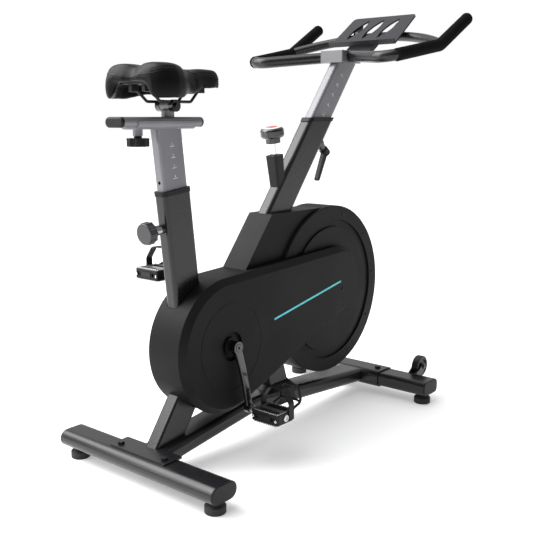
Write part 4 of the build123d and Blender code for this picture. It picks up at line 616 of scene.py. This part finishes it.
def saddle_mesh():
    """A closed form with crowned cheeks, tucked sides and a hollow underneath."""
    rings = []
    for share, drop in TOP_RINGS:
        ring = []
        for p in OUTLINE:
            q = spine(p).lerp(p, max(share, 0.004))
            ring.append(Vector((q.x, q.y, saddle_top(q.x, q.y) - drop)))
        rings.append(ring)
    for share, depth in WALL_RINGS:
        ring = []
        for p in OUTLINE:
            q = spine(p).lerp(p, share)
            high = saddle_top(q.x, q.y) - 8
            ring.append(Vector((q.x, q.y, high + (saddle_bottom(p.x, p.y) - high) * depth)))
        rings.append(ring)
    for share in UNDER_RINGS:
        ring = []
        for p in OUTLINE:
            q = spine(p).lerp(p, max(share, 0.004))
            rim = saddle_bottom(p.x, p.y)
            ring.append(Vector((q.x, q.y, rim + (HOLLOW - rim) * (1 - smoothstep(share, 0.68, 0.86)))))
        rings.append(ring)
    build = Build()
    build.rings(rings)
    return build


body_mesh = saddle_mesh()
saddle = piece("saddle_cushion", [v * MM for v in body_mesh.verts], body_mesh.faces, VINYL, "saddle",
               smooth=60)


def apply_modifiers(obj):
    """Replaces the mesh by its evaluated one."""
    graph = bpy.context.evaluated_depsgraph_get()
    made = bpy.data.meshes.new_from_object(obj.evaluated_get(graph))
    obj.modifiers.clear()
    obj.data = made


CLOTH_FRAMES = 20
FLAT_LOW, FLAT_HIGH = 944 * MM, 951 * MM        # the flat underneath, which may not sag


def inflate(obj, voxel, pressure, cap):
    """Fills the pad: an even mesh, a cloth skin under pressure, and no point moved past cap."""
    remesh = obj.modifiers.new("even", "REMESH")
    remesh.mode = "VOXEL"
    remesh.voxel_size = voxel
    remesh.use_smooth_shade = True
    apply_modifiers(obj)
    rest = [v.co.copy() for v in obj.data.vertices]
    cloth = obj.modifiers.new("skin", "CLOTH")
    cloth.settings.quality = 6
    cloth.settings.use_pressure = True
    cloth.settings.uniform_pressure_force = pressure
    cloth.settings.tension_stiffness = 25
    cloth.settings.compression_stiffness = 25
    cloth.settings.bending_stiffness = 2
    cloth.settings.effector_weights.gravity = 0
    cloth.collision_settings.use_collision = False
    cloth.point_cache.frame_start, cloth.point_cache.frame_end = 1, CLOTH_FRAMES
    scene = bpy.context.scene
    for step in range(1, CLOTH_FRAMES + 1):
        scene.frame_set(step)
    apply_modifiers(obj)
    scene.frame_set(1)
    for v, start in zip(obj.data.vertices, rest):
        move = v.co - start
        if move.length > cap:
            v.co = start + move * (cap / move.length)
        if FLAT_LOW < start.z < FLAT_HIGH and v.co.z < start.z:
            v.co.z = start.z


inflate(saddle, 4.5 * MM, 4.0, 5 * MM)
relax = saddle.modifiers.new("relax", "SMOOTH")
relax.factor, relax.iterations = 0.5, 6
smoother = saddle.modifiers.new("fine", "SUBSURF")
smoother.levels = smoother.render_levels = 1
apply_modifiers(saddle)
saddle.data.materials.clear()
saddle.data.materials.append(VINYL)
saddle.data.polygons.foreach_set("material_index", [0] * len(saddle.data.polygons))
smooth_by_angle(saddle, 60)
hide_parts("saddle_pad")

# Seam where the top panel meets the side panel: a welt with a row of stitches above it
skin = BVHTree.FromPolygons([v.co for v in saddle.data.vertices],
                            [tuple(p.vertices) for p in saddle.data.polygons])


def on_skin(share, down, lift):
    """Points on the cushion's skin that follow its outline."""
    points = []
    for p in OUTLINE:
        q = spine(p).lerp(p, share)
        aim = Vector((q.x, q.y, saddle_top(q.x, q.y) - down)) * MM
        place, normal, _, _ = skin.find_nearest(aim)
        points.append((place + normal * lift * MM, normal))
    return points


def closed_tube(build, points, radius, count=8):
    """A thin round tube along a closed loop."""
    loop = [p for p, _ in points]
    size = len(loop)
    rings = []
    for i, (p, normal) in enumerate(points):
        ahead = (loop[(i + 1) % size] - loop[i - 1]).normalized()
        side = ahead.cross(normal).normalized()
        rings.append([p + (normal * math.cos(a) + side * math.sin(a)) * radius
                      for a in (2 * math.pi * k / count for k in range(count))])
    build.rings(rings + [rings[0]], closed=False)


WELT_RADIUS, THREAD_RADIUS, THREAD_RISE, THREAD_SUNK = 1.2 * MM, 0.45 * MM, 0.35 * MM, 0.3 * MM
STITCH_SHARES = ((0.06, 0.40), (0.56, 0.90))    # two stitches to each stretch of the outline
SHORTEST_STITCH = 1.0 * MM

welt = Build()
closed_tube(welt, on_skin(0.955, 13, -0.2), WELT_RADIUS)
welt.make("saddle_welt", VINYL, "saddle", "saddle_skin")
stitches = Build()
stitch_line = on_skin(0.90, 8.5, 0.0)
for (a, normal), (b, _) in zip(stitch_line, stitch_line[1:] + stitch_line[:1]):
    for from_share, to_share in STITCH_SHARES:
        start, end = a.lerp(b, from_share), a.lerp(b, to_share)
        if (end - start).length < SHORTEST_STITCH:
            continue
        middle = (start + end) / 2 + normal * THREAD_RISE
        dip = normal * THREAD_SUNK
        stitches.rings(sweep_rings([start - dip, middle, end - dip], lambda *_: THREAD_RADIUS, 6))
stitches.make("saddle_stitches", THREAD, "saddle", "saddle_skin")


# ---------------------------------------------------------------- stage, light and camera
FLOOR_RADII = (0.002, 1.0, 2.0, 3.5, 6.0, 12.0, 30.0)
FLOOR_SIDES, FLOOR_GLOW = 96, 0.3


def floor_disc():
    """A plain pale floor with a slight glow, which keeps it white in the shade."""
    count = FLOOR_SIDES
    turns = [2 * math.pi * i / count for i in range(count)]
    verts = [(r * math.cos(a), r * math.sin(a), 0) for r in FLOOR_RADII for a in turns]
    faces = []
    for r in range(len(FLOOR_RADII) - 1):
        for i in range(count):
            j = (i + 1) % count
            faces.append((r * count + i, r * count + j, (r + 1) * count + j, (r + 1) * count + i))
    data = bpy.data.meshes.new("floor")
    data.from_pydata(verts, [], faces)
    floor = bpy.data.objects.new("floor", data)
    bpy.context.scene.collection.objects.link(floor)
    pale = surface("pale_floor", (0.88, 0.88, 0.885), (0.92, 0.92, 0.925), rough=(0.6, 0.7), grain=300,
                   depth=0.02, patch=1.2, specular=0.1)
    shader = pale.node_tree.nodes["Principled BSDF"]
    shader.inputs["Emission Color"].default_value = (1, 1, 1, 1)
    shader.inputs["Emission Strength"].default_value = FLOOR_GLOW
    data.materials.append(pale)


def area_light(name, place, aim, size, power):
    """A square softbox at a place, turned to a point."""
    light = bpy.data.lights.new(name, "AREA")
    light.shape = "RECTANGLE"
    light.size, light.size_y = size
    light.energy = power
    obj = bpy.data.objects.new(name, light)
    obj.location = place
    obj.rotation_euler = (Vector(aim) - Vector(place)).to_track_quat("-Z", "Y").to_euler()
    bpy.context.scene.collection.objects.link(obj)


BRIGHT_SIDE = (0.45, 0.70, 0.55)        # where the surround is brightest
SURROUND = (0.16, 0.95)                 # its dimmest and brightest levels


def studio_world():
    """White for the camera, and for the object a surround that is bright behind and overhead."""
    world = bpy.data.worlds.new("studio")
    world.use_nodes = True
    tree = world.node_tree
    backdrop = tree.nodes["Background"]
    backdrop.inputs["Color"].default_value = (1, 1, 1, 1)
    backdrop.inputs["Strength"].default_value = 1.0
    toward = add_node(tree, "ShaderNodeTexCoord").outputs["Generated"]
    facing = add_node(tree, "ShaderNodeVectorMath", {0: toward, 1: BRIGHT_SIDE}, operation="DOT_PRODUCT")
    level = remap(tree, facing.outputs["Value"], *SURROUND, -0.5, 0.9)
    surround = add_node(tree, "ShaderNodeBackground", {"Strength": level})
    seen = add_node(tree, "ShaderNodeLightPath").outputs["Is Camera Ray"]
    layers = {0: seen, 1: surround.outputs[0], 2: backdrop.outputs[0]}
    mixed = add_node(tree, "ShaderNodeMixShader", layers)
    tree.links.new(mixed.outputs[0], tree.nodes["World Output"].inputs["Surface"])
    bpy.context.scene.world = world


def soft_sun(energy, spread, heading):
    """A sun wide enough for soft shadows."""
    sun = bpy.data.lights.new("soft_sun", "SUN")
    sun.energy, sun.angle = energy, math.radians(spread)
    obj = bpy.data.objects.new("soft_sun", sun)
    obj.rotation_euler = Vector(heading).to_track_quat("-Z", "Y").to_euler()
    bpy.context.scene.collection.objects.link(obj)


floor_disc()
studio_world()
soft_sun(2.3, 60, (0.35, -0.30, -0.90))
area_light("strip", (-2.4, 1.6, 1.7), (-0.2, 0, 0.7), (0.5, 2.4), 26)
area_light("rear_top", (-1.2, 1.9, 2.6), (0, 0, 0.7), (2.6, 2.6), 95)
bpy.context.scene.view_settings.view_transform = "Standard"

camera_data = bpy.data.cameras.new("camera")
camera_data.sensor_width, camera_data.lens = 36.0, 55.2
camera = bpy.data.objects.new("camera", camera_data)
camera.location = (-1.748, -1.416, 0.870)
camera.rotation_euler = Vector((0.7567, 0.6288, -0.1799)).to_track_quat("-Z", "Y").to_euler()
bpy.context.scene.collection.objects.link(camera)
bpy.context.scene.camera = camera
